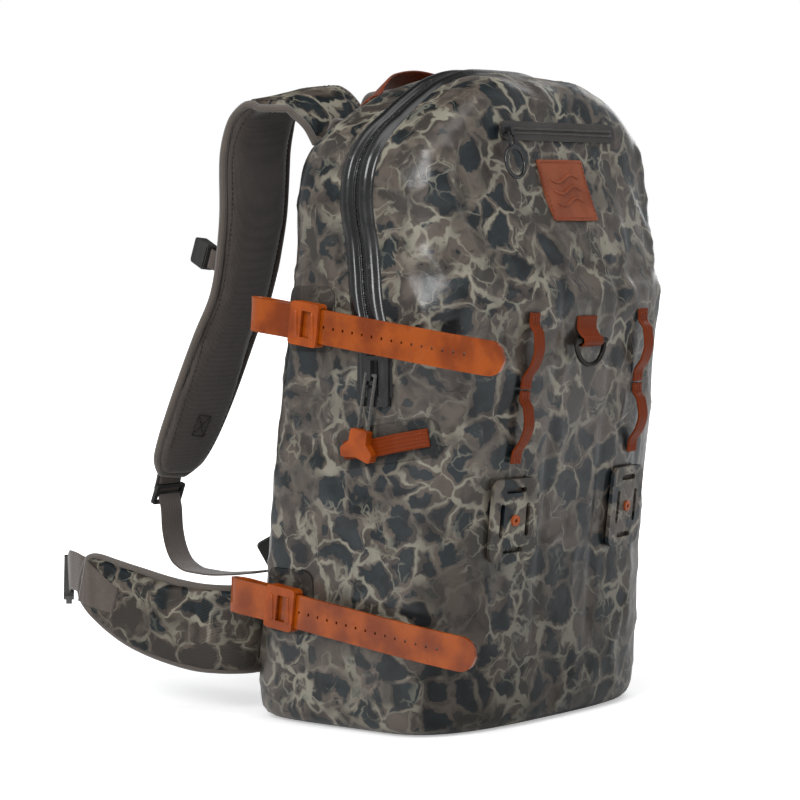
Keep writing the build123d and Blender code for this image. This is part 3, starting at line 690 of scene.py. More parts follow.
CAMO = camo("camo_coated")
CAMO_RIGID = camo("camo_moulded", rest=False, gloss=0.42, coat=0.2)
CAMO_PLATE = coated("plate_face", (58, 54, 48), (84, 78, 68), rough=0.42, coat=0.15,
                    rest=False, bumpy=0.2)
CAMO_CLOTH = camo("camo_cloth", gloss=0.62, weave=True, coat=0.0)
LINER = coated("grey_liner", (52, 52, 52), (66, 65, 63), rough=0.55, coat=0.0)
TPU = coated("black_tpu", (9, 9, 10), (17, 17, 18), rough=0.24, coat=0.5, bumpy=0.06)
TPU_RIGID = coated("black_moulded", (14, 14, 15), (28, 28, 29), rest=False, bumpy=0.10)
CHAIN = coated("zip_teeth", (14, 14, 15), (26, 26, 27), rough=0.4, coat=0.1)
POCKET_TPU = coated("pocket_band", (48, 44, 42), (58, 54, 50), rough=0.42, coat=0.15,
                    bumpy=0.15)
MATTE_TPU = camo("camo_patch", gloss=0.46, dark=0.74, coat=0.12)
ORANGE_TPU = coated("orange_tpu", (156, 72, 10), (118, 48, 3), rough=0.20, coat=0.5,
                    bumpy=0.08, sss=0.04, spec=0.2, wear=(190, 96, 30))
ORANGE_RIGID = coated("orange_moulded", (164, 74, 14), (130, 54, 6), rough=0.32, coat=0.3,
                      rest=False, bumpy=0.18, scale=500.0, sss=0.05, spec=0.25,
                      wear=(200, 104, 40))
ORANGE_BADGE = coated("badge_face", (140, 74, 46), (124, 62, 38), rough=0.5, coat=0.05,
                      bumpy=0.25, scale=650.0, spec=0.3, wear=(170, 110, 80))
ORANGE_WEB = webbing("orange_webbing", (84, 31, 6), (134, 54, 12), rough=0.38, sheen=0.0,
                     spec=0.12)
BROWN_WEB = webbing("brown_webbing", (66, 56, 49), (96, 84, 75))
BINDING = webbing("edge_binding", (66, 58, 52), (98, 88, 79), pitch=0.0011)
PAD_DARK = knit("pad_inner", (66, 59, 55), (80, 73, 68))
PAD_BROWN = knit("pad_brown", (74, 64, 57), (92, 81, 73))
THREAD = coated("thread", (34, 30, 28), (52, 46, 42), rough=0.7, coat=0.0, bumpy=0.3,
                scale=1500.0)
THREAD_ORANGE = coated("thread_orange", (120, 46, 18), (150, 62, 26), rough=0.6, coat=0.0,
                       bumpy=0.3, scale=1500.0)
CORD = webbing("cord_braid", (50, 48, 46), (88, 85, 80), uv=False, pitch=0.0022)
BUCKLE = coated("buckle_plastic", (24, 24, 24), (40, 38, 36), rough=0.46, coat=0.05,
                rest=False, bumpy=0.22, scale=900.0)
METAL = coated("dark_metal", (34, 33, 31), (56, 54, 50), rough=0.34, coat=0.0, rest=False,
               bumpy=0.06, metallic=0.8)
SHEET = coated("stiff_sheet", (48, 48, 50), (60, 60, 62), rough=0.5, coat=0.0, rest=False)

# ------------------------------------------------------------------ shell: body and front flap
ROWS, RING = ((150, 110))   # levels, points in each half ring
LINER_INSET = 2.2


def half_ring(half, depth, exponent, cut, extra=0.0):
    """Half ring from +x to -x as (x, unsigned depth), starting cut away from the middle."""
    samples = 721
    angle = np.linspace(0, np.pi, samples)
    c, s = np.cos(angle), np.abs(np.sin(angle))
    r = (np.abs(c) ** exponent + s**exponent) ** (-1 / exponent)
    x, y = half * c * r, depth * s * r
    x = x * (1 + extra / half * np.minimum(1.0, y / 45.0))
    if cut > 0 and depth > cut + 1:
        keep = y >= cut
        x, y = x[keep], y[keep]
    elif cut > 0:   # too shallow to cut: a short straight line instead
        x, y = np.linspace(half, -half, samples) * 0.2, np.full(samples, depth)
    arc = np.concatenate([[0], np.cumsum(np.hypot(np.diff(x), np.diff(y)))])
    at = np.linspace(0, arc[-1], RING)
    return np.interp(at, arc, x), np.interp(at, arc, y)


def levels():
    """Places along the silhouette, their heights, and the row moved onto the fold."""
    arc = np.linspace(0, STATION_ARC[-1], ROWS)
    fold = int(np.argmin(np.abs(pchip(STATION_ARC, STATIONS[:, 0], arc) - FOLD_Z)))
    i, j = FOLD_STATION, FOLD_STATION + 1
    part = (FOLD_Z - STATIONS[i, 0]) / (STATIONS[j, 0] - STATIONS[i, 0])
    arc[fold] = STATION_ARC[i] + part * (STATION_ARC[j] - STATION_ARC[i])
    return arc, pchip(STATION_ARC, STATIONS[:, 0], arc), fold


def outward_normals(grid):
    normals = np.cross(np.gradient(grid, axis=1), np.gradient(grid, axis=0))
    normals /= np.linalg.norm(normals, axis=2)[:, :, None] + 1e-9
    middle = np.array([0, 10.0, 240.0])
    normals[((grid - middle) * normals).sum(2) < 0] *= -1
    return normals


def build_shell():
    arc, heights, fold = levels()
    columns = [pchip(STATION_ARC, STATIONS[:, k], arc) for k in range(1, 6)]
    back, front = np.zeros((ROWS, RING, 3)), np.zeros((ROWS, RING, 3))
    for i, z in enumerate(heights):
        half, front_depth, back_depth, exponent, extra = (column[i] for column in columns)
        opening = ZIP_GAP * smooth(257.0, 268.0, z)
        shift = zip_y(z)
        cut = max(0.0, ZIP_GAP + shift) * opening / ZIP_GAP
        x, y = half_ring(half, back_depth, BACK_EXPONENT, cut)
        back[i] = np.stack([x, y, np.full(RING, z)], 1)
        cut = (ZIP_GAP - shift) * opening / ZIP_GAP
        x, y = half_ring(half, front_depth, exponent, cut, extra)
        front[i] = np.stack([-x, -y, np.full(RING, z)], 1)
    back_normals, front_normals = outward_normals(back), outward_normals(front)
    below = heights < FOLD_Z   # here the two halves meet and share their edge normals
    for normals, first_x in ((back_normals, 1.0), (front_normals, -1.0)):
        normals[below, 0] = (first_x, 0, 0)
        normals[below, -1] = (-first_x, 0, 0)
    for grid, normals in ((back, back_normals), (front, front_normals)):
        for i in range(ROWS):
            for j in range(RING):
                grid[i, j] += normals[i, j] * relief(*grid[i, j])
    return (back, back_normals), (front, front_normals), fold


def shell_piece(name, parts, material, inset=0.0):
    """One mesh from (surface, first row, end row) parts, welded along shared edges."""
    verts, faces = [], []
    for (grid, normals), first, end in parts:
        faces += shifted(grid_faces(end - first, RING, flip=inset > 0), len(verts))
        verts += list((grid - normals * inset)[first:end].reshape(-1, 3))
    obj = make_object(name, verts, faces, material, rest=False)
    edit_mesh(obj, lambda bm: bmesh.ops.remove_doubles(bm, verts=bm.verts, dist=0.00002))
    mark_rest(obj)
    return obj


back_surface, front_surface, fold_row = build_shell()
settle(shell_piece("body_shell", [(back_surface, 0, ROWS), (front_surface, 0, fold_row + 1)],
                   CAMO),
       "pack", ("bottom_panel", "front_lower_panel", "back_panel",
                                "top_gusset", "gusset_left", "gusset_right"))
settle(shell_piece("body_liner", [(back_surface, 1, ROWS), (front_surface, 1, fold_row + 1)],
                   LINER, LINER_INSET), "pack")
flap_parts = [(front_surface, fold_row, ROWS)]
flap_shell = shell_piece("flap_shell", flap_parts, CAMO)
flap_liner = shell_piece("flap_liner", flap_parts, LINER, LINER_INSET)
settle(flap_shell, BENT,
       ("flap_front_panel", "flap_gusset_left", "flap_gusset_right"))
settle(flap_liner, BENT)

# ------------------------------------------------------------------ main zip: flanges and chain
# distance from the zip's middle, height above the shell
FLANGE_PROFILE = [
    (16.4, 0.1), (15.8, 1.0), (14.6, 1.5), (13.6, 1.9), (12.4, 3.4), (10.2, 4.6), (7.6, 4.9),
    (5.4, 4.3), (4.0, 3.0), (3.2, 1.3), (2.6, 1.0), (1.9, 1.3), (0.35, 1.0), (0.3, -1.2)]
# one tooth's outline: across the zip, out from the shell
TOOTH = [(-0.95, -0.5), (0.95, -0.5), (0.8, 0.35), (0.2, 0.55), (-0.6, 0.45)]
TOOTH_PITCH = 2.2
TOOTH_STAGGER = 0.75    # rear teeth sit this much further along


def zip_course():
    """Path up the left wall, over the top and down the right, with its tangent and outward."""
    half = np.array([(-side_x(z, zip_y(z)), zip_y(z), z) for z in WALL[:, 0] if z >= 250])
    path, arc = resample(np.concatenate([half, half[::-1] * np.array([-1.0, 1.0, 1.0])]), 400)
    keep = path[:, 2] >= 256.0
    path, arc = path[keep], arc[keep]
    tangent, _, outward = directions(path, (0, 1, 0))
    if outward[0, 0] > 0:
        outward = -outward
    outward[:, 1] = 0.0
    outward /= np.linalg.norm(outward, axis=1)[:, None]
    return path, arc, tangent, outward


zip_path, zip_arc, zip_tangent, zip_outward = zip_course()


def zip_flange(name, sign):
    verts, uvs = [], []
    for point, along, outward in zip(zip_path, zip_arc, zip_outward):
        swell = 1.0 + 0.04 * noise.noise(Vector(tuple(point * 0.02)))
        for distance, height in FLANGE_PROFILE:
            y = distance * sign
            drop = 0.0022 * distance * distance
            verts.append(point + np.array([0, y, 0]) + outward * (height * swell - drop))
            uvs.append((along, y))
    faces = grid_faces(len(zip_path), len(FLANGE_PROFILE), flip=sign > 0)
    return make_object(name, verts, faces, TPU, uvs)


def zip_teeth(name, sign):
    verts, faces = [], []
    stagger = TOOTH_STAGGER if sign > 0 else 0
    along = zip_arc[2]
    while along < zip_arc[-3]:
        i = int(np.searchsorted(zip_arc, along))
        tangent, outward = zip_tangent[i], zip_outward[i]
        middle = zip_path[i] + np.array([0, sign * 1.0, 0]) + outward * 1.3
        faces += shifted(sweep_faces(2, len(TOOTH)), len(verts))
        for end in (-0.5, 0.5):
            for across, out in TOOTH:
                verts.append(middle + tangent * (end + stagger)
                             + np.array([0, across * sign, 0]) + outward * out)
        along += TOOTH_PITCH
    return make_object(name, verts, faces, CHAIN)


ZIP_HALVES = (("rear", 1, "pack"), ("front", -1, BENT))
for half_name, sign, body in ZIP_HALVES:
    settle(zip_flange(f"zip_flange_{half_name}", sign), body,
           (f"zip_tape_{half_name}",))
for half_name, sign, body in ZIP_HALVES:
    settle(zip_teeth(f"zip_teeth_{half_name}", sign), body,
           (f"zip_chain_{half_name}",))


# ------------------------------------------------------------------ patches that lie on the shell
def decal(name, outline, place, lift, thick, material):
    """A thin patch; place(a, b) turns an outline point into a point and normal on the shell."""
    bm = bmesh.new()
    bm.faces.new([bm.verts.new((a, b, 0)) for a, b in outline])
    bmesh.ops.triangulate(bm, faces=bm.faces[:])
    for _ in range(3):
        long_edges = [e for e in bm.edges if e.calc_length() > 5.0]
        if not long_edges:
            break
        bmesh.ops.subdivide_edges(bm, edges=long_edges, cuts=1, use_grid_fill=False)
        bmesh.ops.triangulate(bm, faces=bm.faces[:])
    bmesh.ops.recalc_face_normals(bm, faces=bm.faces[:])
    flat = [(v.co.x, v.co.y) for v in bm.verts]
    bm.verts.index_update()
    faces = [[v.index for v in f.verts] for f in bm.faces]
    if bm.faces[:][0].normal.z < 0:
        faces = [f[::-1] for f in faces]
    rim = [[v.index for v in e.verts] for e in bm.edges if len(e.link_faces) == 1]
    bm.free()
    count = len(flat)
    placed = [place(a, b) for a, b in flat]
    verts = [point + normal * off for off in (lift + thick, lift - 0.6)
             for point, normal in placed]
    faces = (faces + [[i + count for i in f[::-1]] for f in faces]
             + [[a, b, b + count, a + count] for a, b in rim])
    obj = make_object(name, verts, faces, material, flat * 2)
    face_outward(obj)
    bevel(obj, 0.35)
    return obj


def rounded(width, height, radius, steps=5):
    points = []
    x, y = width / 2 - radius, height / 2 - radius
    for cx, cy, start in ((x, y, 0), (-x, y, 90), (-x, -y, 180), (x, -y, 270)):
        for k in range(steps + 1):
            a = math.radians(start + 90 * k / steps)
            points.append((cx + radius * math.cos(a), cy + radius * math.sin(a)))
    return points


PROBE = 3.0    # how far either side a surface is read for its slope


def front_place(x0, z0):
    def place(a, b):
        x, z = x0 + a, z0 + b
        point = np.array([x, front_y(z, x), z])
        along_x = np.array([2 * PROBE, front_y(z, x + PROBE) - front_y(z, x - PROBE), 0])
        along_z = np.array([0, front_y(z + PROBE, x) - front_y(z - PROBE, x), 2 * PROBE])
        normal = np.cross(along_x, along_z)
        normal /= np.linalg.norm(normal)
        return point + normal * (0.6 * relief(*point) + 0.4), normal

    return place


def side_place(y0, z0, sign, angle=0.0):
    cosine, sine = math.cos(angle), math.sin(angle)

    def place(a, b):
        y, z = y0 + a * cosine - b * sine, z0 + a * sine + b * cosine
        x = side_x(z, y)
        along_y = np.array([side_x(z, y + PROBE) - side_x(z, y - PROBE), 2 * PROBE, 0])
        along_z = np.array([side_x(z + PROBE, y) - side_x(z - PROBE, y), 0, 2 * PROBE])
        normal = np.cross(along_y, along_z)
        normal /= np.linalg.norm(normal)
        if normal[0] < 0:
            normal = -normal
        point = np.array([x, y, z]) + normal * (relief(sign * x, y, z) * 0.7 + 0.3)
        mirror = np.array([sign, 1, 1])
        return point * mirror, normal * mirror

    return place


# pocket zip: a bonded band with two lips
POCKET_Z = 457.0
settle(decal("pocket_zip_band", rounded(152.0, 14.5, 6.5), front_place(1.0, POCKET_Z),
             lift=0.5, thick=1.2, material=POCKET_TPU),
       "front_flap", ("pocket_zip_tape",))
on_band = front_place(2.0, POCKET_Z)
for lip_name, sign in (("lower", -1), ("upper", 1)):
    spots = [on_band(a, sign * 1.5) for a in np.linspace(-66, 68, 30)]
    settle(tube(f"pocket_zip_lip_{lip_name}", [p + n * 2.0 for p, n in spots], 1.1,
                POCKET_TPU, 60), "front_flap")

# badge: a slanted patch with three raised waves and a stitched border
BADGE_SHEAR = 0.16
BADGE_WIDTH, BADGE_HEIGHT = 58.0, 47.0
STITCH_INSET = 2.0
on_badge = front_place(-1.5, 412.0)


def slanted(points):
    return [(a - BADGE_SHEAR * b, b) for a, b in points]


settle(decal("badge_patch", slanted(rounded(BADGE_WIDTH, BADGE_HEIGHT, 2.0)), on_badge,
             lift=0.4, thick=1.1, material=ORANGE_BADGE),
       "front_flap", ("front_badge",))
for k, middle in enumerate((9.0, 0.0, -9.0)):
    spots = [on_badge(a - BADGE_SHEAR * middle, middle + 3.0 * math.sin(a / 5.8))
             for a in np.linspace(-18, 18, 34)]
    settle(tube(f"badge_wave_{k}", [p + n * 1.6 for p, n in spots], 1.15, ORANGE_BADGE, 60),
           "front_flap")
border = rounded(BADGE_WIDTH - 2 * STITCH_INSET, BADGE_HEIGHT - 2 * STITCH_INSET, 1.8, 4)
spots = [on_badge(a, b) for a, b in slanted(border + border[:1])]
settle(stitch_run("badge_stitches", [p + n * 1.55 for p, n in spots], [n for p, n in spots],
                  THREAD_ORANGE, length=2.4, gap=1.4, radius=0.35, lift=0.15),
       "front_flap")


def tacks(name, strap, sign, spans, offsets, rise, length, radius, lift):
    """Short rows of stitches across a strap's ends; spans are ranges of its rows."""
    runs = []
    for k, (first, end) in enumerate(spans):
        rows = slice(first, end)
        normal = strap.normal[rows] * sign
        for m, offset in enumerate(offsets):
            points = strap.path[rows] + strap.across[rows] * offset + normal * rise
            runs.append(stitch_run(f"{name}_stitch_{k}{m}", points, normal, THREAD_ORANGE,
                                   length=length, gap=0.8, radius=radius, lift=lift))
    return runs


# grab tabs: a webbing tab sewn over a bonded patch, both sides
# y, z, distance off the side wall
GRAB_TAB = [(17, 215.7, 1.9), (6, 216.8, 1.9), (-8, 218.4, 2.4), (-20, 220.4, 4.8),
            (-32, 223.0, 6.2), (-43, 225.4, 4.4), (-50, 227.0, 2.5), (-56, 228.2, 2.2)]
for side, sign in LEFT_RIGHT:
    settle(decal(f"grab_patch_{side}", rounded(88.0, 30.0, 8.0),
                 side_place(-19.0, 222.0, sign, math.radians(-9.3)),
                 lift=0.2, thick=0.7, material=MATTE_TPU), "pack")
    points = [(sign * (side_x(z, y) + off), y, z) for y, z, off in GRAB_TAB]
    tab = band(f"grab_tab_{side}", points, 14.0, 1.9, (0, 0.16, 1), ORANGE_WEB, 50)
    settle(tab.obj, "pack", ("grab_tabs",) if side == "left" else ())
    outer = 1.0 if tab.normal[5][0] * sign > 0 else -1.0
    for run in tacks(f"grab_tab_{side}", tab, outer, ((1, 7), (43, 48)), (-4.2, 0.0, 4.2),
                     rise=1.0, length=1.6, radius=0.34, lift=0.12):
        settle(run, "pack")

# lash ladders on the front: wavy webbing, tacked at both ends
LADDER_X, LADDER_TOP, LADDER_SPREAD = 72.0, 320.0, 0.05   # x at the top; outward per mm down
# z, distance off the front
LADDER_LOWER = [(206, 2.6), (214, 2.8), (225, 8.6), (236, 10.6), (248, 7.6), (255, 3.0),
                (261, 2.8)]
LADDER_UPPER = [(262.5, 2.8), (270, 3.0), (281, 9.0), (293, 11.0), (304, 8.8), (312, 3.2),
                (LADDER_TOP, 3.0)]


def lash_ladder(part, side, sign, profile, body):
    points = []
    for z, off in profile:
        x = sign * (LADDER_X + LADDER_SPREAD * (LADDER_TOP - z))
        points.append((x, front_y(z, x) - off, z))
    name = f"lash_ladder_{part}_{side}"
    strap = band(name, points, 12.5, 2.0, (1, 0, 0), ORANGE_WEB, 54)
    outer = 1.0 if strap.normal[3][1] < 0 else -1.0
    settle(strap.obj, body,
           (f"lash_ladders_{part}",) if side == "left" else ())
    for run in tacks(name, strap, outer, ((1, 6), (48, 53)), (-3.6, 0.0, 3.6),
                     rise=1.05, length=1.4, radius=0.32, lift=0.1):
        settle(run, body)


for side, sign in LEFT_RIGHT:
    lash_ladder("lower", side, sign, LADDER_LOWER, "pack")
    lash_ladder("upper", side, sign, LADDER_UPPER, BENT)


def d_ring_tab():
    """Webbing down the front, looped round the top bar of the CAD ring."""
    ring_low, ring_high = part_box("front_d_ring")
    bar_y, bar_z = ring_low.y * 1000 + 2.0, ring_high.z * 1000 - 2.0
    yz = [(front_y(316, 0) - 1.6, 316), (front_y(308, 0) - 1.8, 308)]
    loop = ((-0.4, 3.6), (-2.9, 2.0), (-3.4, -0.6), (-2.0, -3.0), (1.4, -3.9), (4.0, -3.2))
    yz += [(bar_y + dy, bar_z + dz) for dy, dz in loop]
    tab = band("d_ring_tab_web", [(-6.0, y, z) for y, z in yz], 25.5, 1.7, (1, 0, 0),
               ORANGE_WEB, 44)
    settle(tab.obj, "front_flap", ("d_ring_tab",))


d_ring_tab()

# x, rise of the arch, width
HAUL_HANDLE = [(-82, -3.4, 13), (-76, -0.8, 14), (-63, 1.5, 17), (-50, 8.0, 20), (-30, 15.0, 22),
               (0, 18.0, 22), (30, 15.0, 22), (50, 8.0, 20), (63, 1.5, 17), (76, -0.8, 14),
               (82, -3.4, 13)]
handle = band("haul_handle_web", [(x, 60.9 + 0.9 * h, 481.2 + 1.15 * h) for x, h, _ in HAUL_HANDLE],
              [row[2] for row in HAUL_HANDLE], 2.6, (0, -0.79, 0.61), ORANGE_WEB, 80, power=9)
settle(handle.obj, "haul_handle", ("haul_handle",))

# ------------------------------------------------------------------ moulded lash straps
LASH_WIDTH, LASH_THICK = 26.0, 3.2
HOLE_PITCH, HOLE_COUNT = 9.4, 15
HOLE_HALF_LENGTH, HOLE_HALF_WIDTH = 1.0, 1.25
HOLE_CELL = 2.6             # half length of the cell round a hole
LASH_X = 165.0
LASH_SLOPE = 0.126          # rise for each mm towards the back
LASH_COLUMNS = [-1.0, -0.86, -0.5, -0.2, 0.2, 0.5, 0.86, 1.0]
HOLE_COLUMN = 3             # the middle strip, where holes are cut
HOLE_ANGLES = np.radians([225, 270, 315, 0, 45, 90, 135, 180])
# label, z at the buckle, y of the anchor, loop and buckle, y of the tip on each side
LASHES = (
    ("upper", 311.0, 50.0, 100.0, 43.0, {"left": -138.0, "right": -34.0}),
    ("lower", 93.0, 72.0, 122.0, 68.0, {"left": -112.0, "right": -30.0}),
)


def strap_rows(length, first_hole, count):
    """Places of the cross rows, and whether the cell before each later row has a hole."""
    rows, holed = [0.0], []

    def add(place, has_hole=False):
        rows.append(place)
        holed.append(has_hole)

    for k in range(count):
        hole = first_hole + HOLE_PITCH * k
        if hole + HOLE_CELL > length:
            break
        while hole - HOLE_CELL - rows[-1] > 7.0:
            add(rows[-1] + 6.0)
        add(hole - HOLE_CELL)
        add(hole + HOLE_CELL, True)
    while length - rows[-1] > 5.0:
        add(rows[-1] + 3.5)
    add(length)
    return rows, holed


def moulded_strap(name, points, first_hole=0.0, count=0, tip=True):
    """A flat strap with a row of holes; tip rounds its far end."""
    path, arc = resample(points, 500)
    length = arc[-1]
    _, across, _ = directions(path, (0, 0, 1))
    rows, holed = strap_rows(length, first_hole, count)
    verts, faces, uvs = [], [], []

    def add(along, offset):
        i = np.clip(np.searchsorted(arc, along), 1, len(arc) - 1)
        f = (along - arc[i - 1]) / (arc[i] - arc[i - 1] + 1e-9)
        verts.append(path[i - 1] * (1 - f) + path[i] * f + across[i] * offset)
        uvs.append((along, offset))
        return len(verts) - 1

    def half_width(along):
        radius = LASH_WIDTH / 2
        left = length - along
        if not tip or left >= radius:
            return radius
        return math.sqrt(max(0.4, radius**2 - (radius - left) ** 2))

    previous = None
    for k, along in enumerate(rows):
        half = half_width(along)
        row = [add(along, c * half) for c in LASH_COLUMNS]
        if previous is not None:
            for j in range(len(LASH_COLUMNS) - 1):
                if j != HOLE_COLUMN or not holed[k - 1]:
                    faces.append([row[j], row[j + 1], previous[j + 1], previous[j]])
                    continue
                middle = (rows[k - 1] + along) / 2
                inner = [add(middle + HOLE_HALF_LENGTH * math.cos(a),
                             HOLE_HALF_WIDTH * math.sin(a)) for a in HOLE_ANGLES]
                outer = [previous[j], row[j], row[j + 1], previous[j + 1]]
                for m in range(4):
                    near = inner[2 * m + 1]
                    faces.append([outer[m], inner[2 * m], near])
                    faces.append([outer[m], near, inner[(2 * m + 2) % 8], outer[(m + 1) % 4]])
        previous = row
    obj = make_object(name, verts, faces, ORANGE_TPU, uvs)
    face_outward(obj)
    thicken = obj.modifiers.new("thick", "SOLIDIFY")
    thicken.thickness = LASH_THICK * MM
    thicken.offset = 0.0
    bevel(obj, 0.5, angle=40)
    return obj


def lash(label, z_buckle, y_anchor, y_loop, y_buckle, y_tip, side, sign):
    def at(inward, y):
        return (sign * (LASH_X - inward), y, z_buckle + LASH_SLOPE * (y - y_buckle))

    if y_tip < -80:   # the long straps lie along the wall past the buckle
        tail = [at(-1.6, y_buckle - 50), at(-0.4, y_tip + 60), at(2.2, y_tip + 30)]
    else:
        tail = [at(1.0, y_tip + 30)]
    path = [at(2.6, y_loop + 0.1), at(0.2, y_loop - 0.6), at(-2.4, y_loop - 4.5),
            at(-3.6, y_loop - 12), at(-3.0, y_loop - 20), at(-1.4, y_buckle + 22),
            at(-1.4, y_buckle - 22), *tail, at(5.0, y_tip + 8), at(6.0, y_tip)]
    name = f"lash_{label}_{side}"
    settle(moulded_strap(f"{name}_strap", path, y_loop - y_buckle + 21.0, HOLE_COUNT),
           name, (f"lash_strap_{label}_{side}",))
    path = [at(11.4, y_anchor - 12), at(8.8, y_anchor + 2), at(8.4, y_anchor + 16),
            at(8.6, y_loop - 12), at(6.8, y_loop - 4), at(4.2, y_loop - 0.4),
            at(2.6, y_loop + 0.2)]
    settle(moulded_strap(f"{name}_tongue", path, tip=False), "pack",
           ("lash_anchors",) if name == "lash_upper_left" else ())
    settle(decal(f"{name}_anchor", rounded(50.0, 50.0, 9.0),
                 side_place(y_anchor + 2, z_buckle + 3.0, sign),
                 lift=0.3, thick=1.2, material=MATTE_TPU), "pack")
    for k, offset in enumerate((-9.0, 7.0)):
        x, y, z = at(-6.2, y_buckle + offset)
        points = [(x, y, z + c) for c in np.linspace(-10.5, 10.5, 8)]
        settle(tube(f"{name}_buckle_rib{k}", points, 1.5, ORANGE_RIGID, 12),
               f"{name}_buckle")


for side, sign in LEFT_RIGHT:
    for *lash_row, tips in LASHES:
        lash(*lash_row, tips[side], side, sign)

# ------------------------------------------------------------------ padding helpers
PAD_SLOTS_COLUMNS = 40    # points round a harness pad's section


def puff(obj):
    """Fills a pad out with cloth under pressure, then keeps its displacement small."""
    frames = 20
    limit = 2.5 * MM
    remesh = obj.modifiers.new("remesh", "REMESH")
    remesh.mode = "VOXEL"
    remesh.voxel_size = 0.005
    materials = list(obj.data.materials)
    apply_modifiers(obj)
    before = vertex_coords(obj.data)
    cloth = obj.modifiers.new("cloth", "CLOTH")
    cloth.settings.quality = 4
    cloth.settings.use_pressure = True
    cloth.settings.uniform_pressure_force = 2.5
    cloth.settings.effector_weights.gravity = 0.0
    cloth.settings.tension_stiffness = 25
    cloth.settings.bending_stiffness = 2.0
    cloth.collision_settings.use_collision = False
    cloth.point_cache.frame_start, cloth.point_cache.frame_end = 1, frames
    scene = bpy.context.scene
    for f in range(1, frames + 1):
        scene.frame_set(f)
    apply_modifiers(obj)
    scene.frame_set(1)
    mesh = obj.data
    moved = vertex_coords(mesh) - before
    length = np.linalg.norm(moved, axis=1)[:, None] + 1e-9
    moved = moved / length * (limit * np.tanh(length / limit))
    mesh.vertices.foreach_set("co", (before + moved).astype(np.float32).ravel())
    mesh.materials.clear()
    for material in materials:
        mesh.materials.append(material)
    shade_smooth(mesh)
    subdivide = obj.modifiers.new("subdivide", "SUBSURF")
    subdivide.levels = subdivide.render_levels = 1
    apply_modifiers(obj)
    mark_rest(obj)


def lay_on(obj, points, normals, lift):
    """Moves points along their normals onto the pad's real surface."""
    mesh = obj.data
    tree = BVHTree.FromPolygons([Vector(c) for c in vertex_coords(mesh)],
                                [tuple(p.vertices) for p in mesh.polygons])
    laid = []
    for point, normal in zip(points, normals):
        out = Vector(normal).normalized()
        hit = tree.ray_cast(Vector(point) * MM + out * 0.012, -out, 0.024)[0]
        laid.append(np.array(point if hit is None else hit / MM + out * lift))
    return np.array(laid)


def split_faces(pad, outer):
    """Gives the outer face material slot 0 and the inner face slot 1."""
    polygons = pad.obj.data.polygons
    centres = np.zeros(len(polygons) * 3, np.float32)
    polygons.foreach_get("center", centres)
    normals = np.zeros(len(polygons) * 3, np.float32)
    polygons.foreach_get("normal", normals)
    slots = []
    for centre, normal in zip(centres.reshape(-1, 3) * 1000, normals.reshape(-1, 3)):
        i = int(np.argmin(((pad.path - centre) ** 2).sum(1)))
        slots.append(0 if (normal @ pad.normal[i]) * outer > -0.05 else 1)
    polygons.foreach_set("material_index", slots)


def pad_rim(pad, first, tip, inset):
    """Out along one edge of a pad and back along the other, drawn in over the tip."""
    points = []
    rows = range(len(pad.path))
    for edge, order in ((first, rows), (-first, reversed(rows))):
        for i in order:
            end = min(1.0, (pad.arc[-1] - pad.arc[i]) / tip)
            half = pad.widths[i] / 2 * (0.72 + 0.28 * math.sqrt(max(0.0, 1 - (1 - end) ** 2)))
            points.append(pad.path[i] + pad.across[i] * edge * (half - inset))
    return points


# ------------------------------------------------------------------ shoulder straps
# y, z, x, twist, width, thickness
SHOULDER = [
    (93.0, 452.0, -64.0, 0.10, 66.0, 9), (101.0, 471.0, -67.0, 0.16, 72.0, 11),
    (120.0, 485.0, -73.0, 0.22, 76.0, 12), (145.0, 484.5, -79.0, 0.20, 78.0, 12),
    (162.0, 467.0, -82.0, 0.12, 78.0, 12), (168.0, 438.0, -83.5, 0.05, 78.0, 12),
    (169.0, 400.0, -84.0, 0.0, 75.0, 12), (174.0, 362.0, -84.5, 0.0, 71.0, 12),
    (181.0, 330.0, -86.0, 0.0, 68.0, 12), (195.0, 296.0, -90.0, 0.0, 69.0, 12),
    (209.0, 258.0, -95.0, 0.0, 70.0, 12), (222.5, 222.0, -100.0, 0.0, 67.0, 12),
    (233.5, 196.0, -103.5, 0.0, 57.0, 11), (240.0, 183.0, -105.0, 0.0, 38.0, 9)]
BOX_Z = 226.0                                # height of the crossed box of stitching
BOX_CORNERS = [(-7.5, -9), (7.5, -9), (7.5, 9), (-7.5, 9)]     # across, along
BOX_LINES = [(0, 1), (1, 2), (2, 3), (3, 0), (0, 2), (1, 3)]   # sides, then diagonals


def shoulder_stitches(pad, side, faces):
    rows = slice(4, 104)
    half = (pad.widths[rows] / 2 - 6.0)[:, None]
    for edge, letter in ((-1, "a"), (1, "b")):
        for facing, face in faces:
            normal = pad.normal[rows] * facing
            points = (pad.path[rows] + pad.across[rows] * (edge * half)
                      + normal * (pad.thicks[rows] / 2 - 0.3)[:, None])
            points = lay_on(pad.obj, points, normal, -0.1)
            settle(stitch_run(f"shoulder_{side}_stitch_{face}_{letter}", points, normal,
                              THREAD, length=2.6, gap=1.5, radius=0.42, lift=0.5),
                   f"shoulder_{side}")


def shoulder_box(pad, side, faces):
    i = int(np.argmin(np.abs(pad.path[:, 2] - BOX_Z)))
    along = pad.path[i + 3] - pad.path[i - 3]
    along /= np.linalg.norm(along)
    for facing, face in faces:
        normal = pad.normal[i] * facing
        middle = pad.path[i] + normal * (pad.thicks[i] / 2 + 1.2)
        corners = [middle + pad.across[i] * a + along * b for a, b in BOX_CORNERS]
        for k, (a, b) in enumerate(BOX_LINES):
            line = [corners[a] * (1 - f) + corners[b] * f for f in np.linspace(0, 1, 8)]
            normals = [normal] * 8
            line = lay_on(pad.obj, line, normals, 0.1)
            settle(stitch_run(f"shoulder_{side}_box_{face}_{k}", line, normals, THREAD,
                              length=2.2, gap=0.7, radius=0.5, lift=0.3), f"shoulder_{side}")


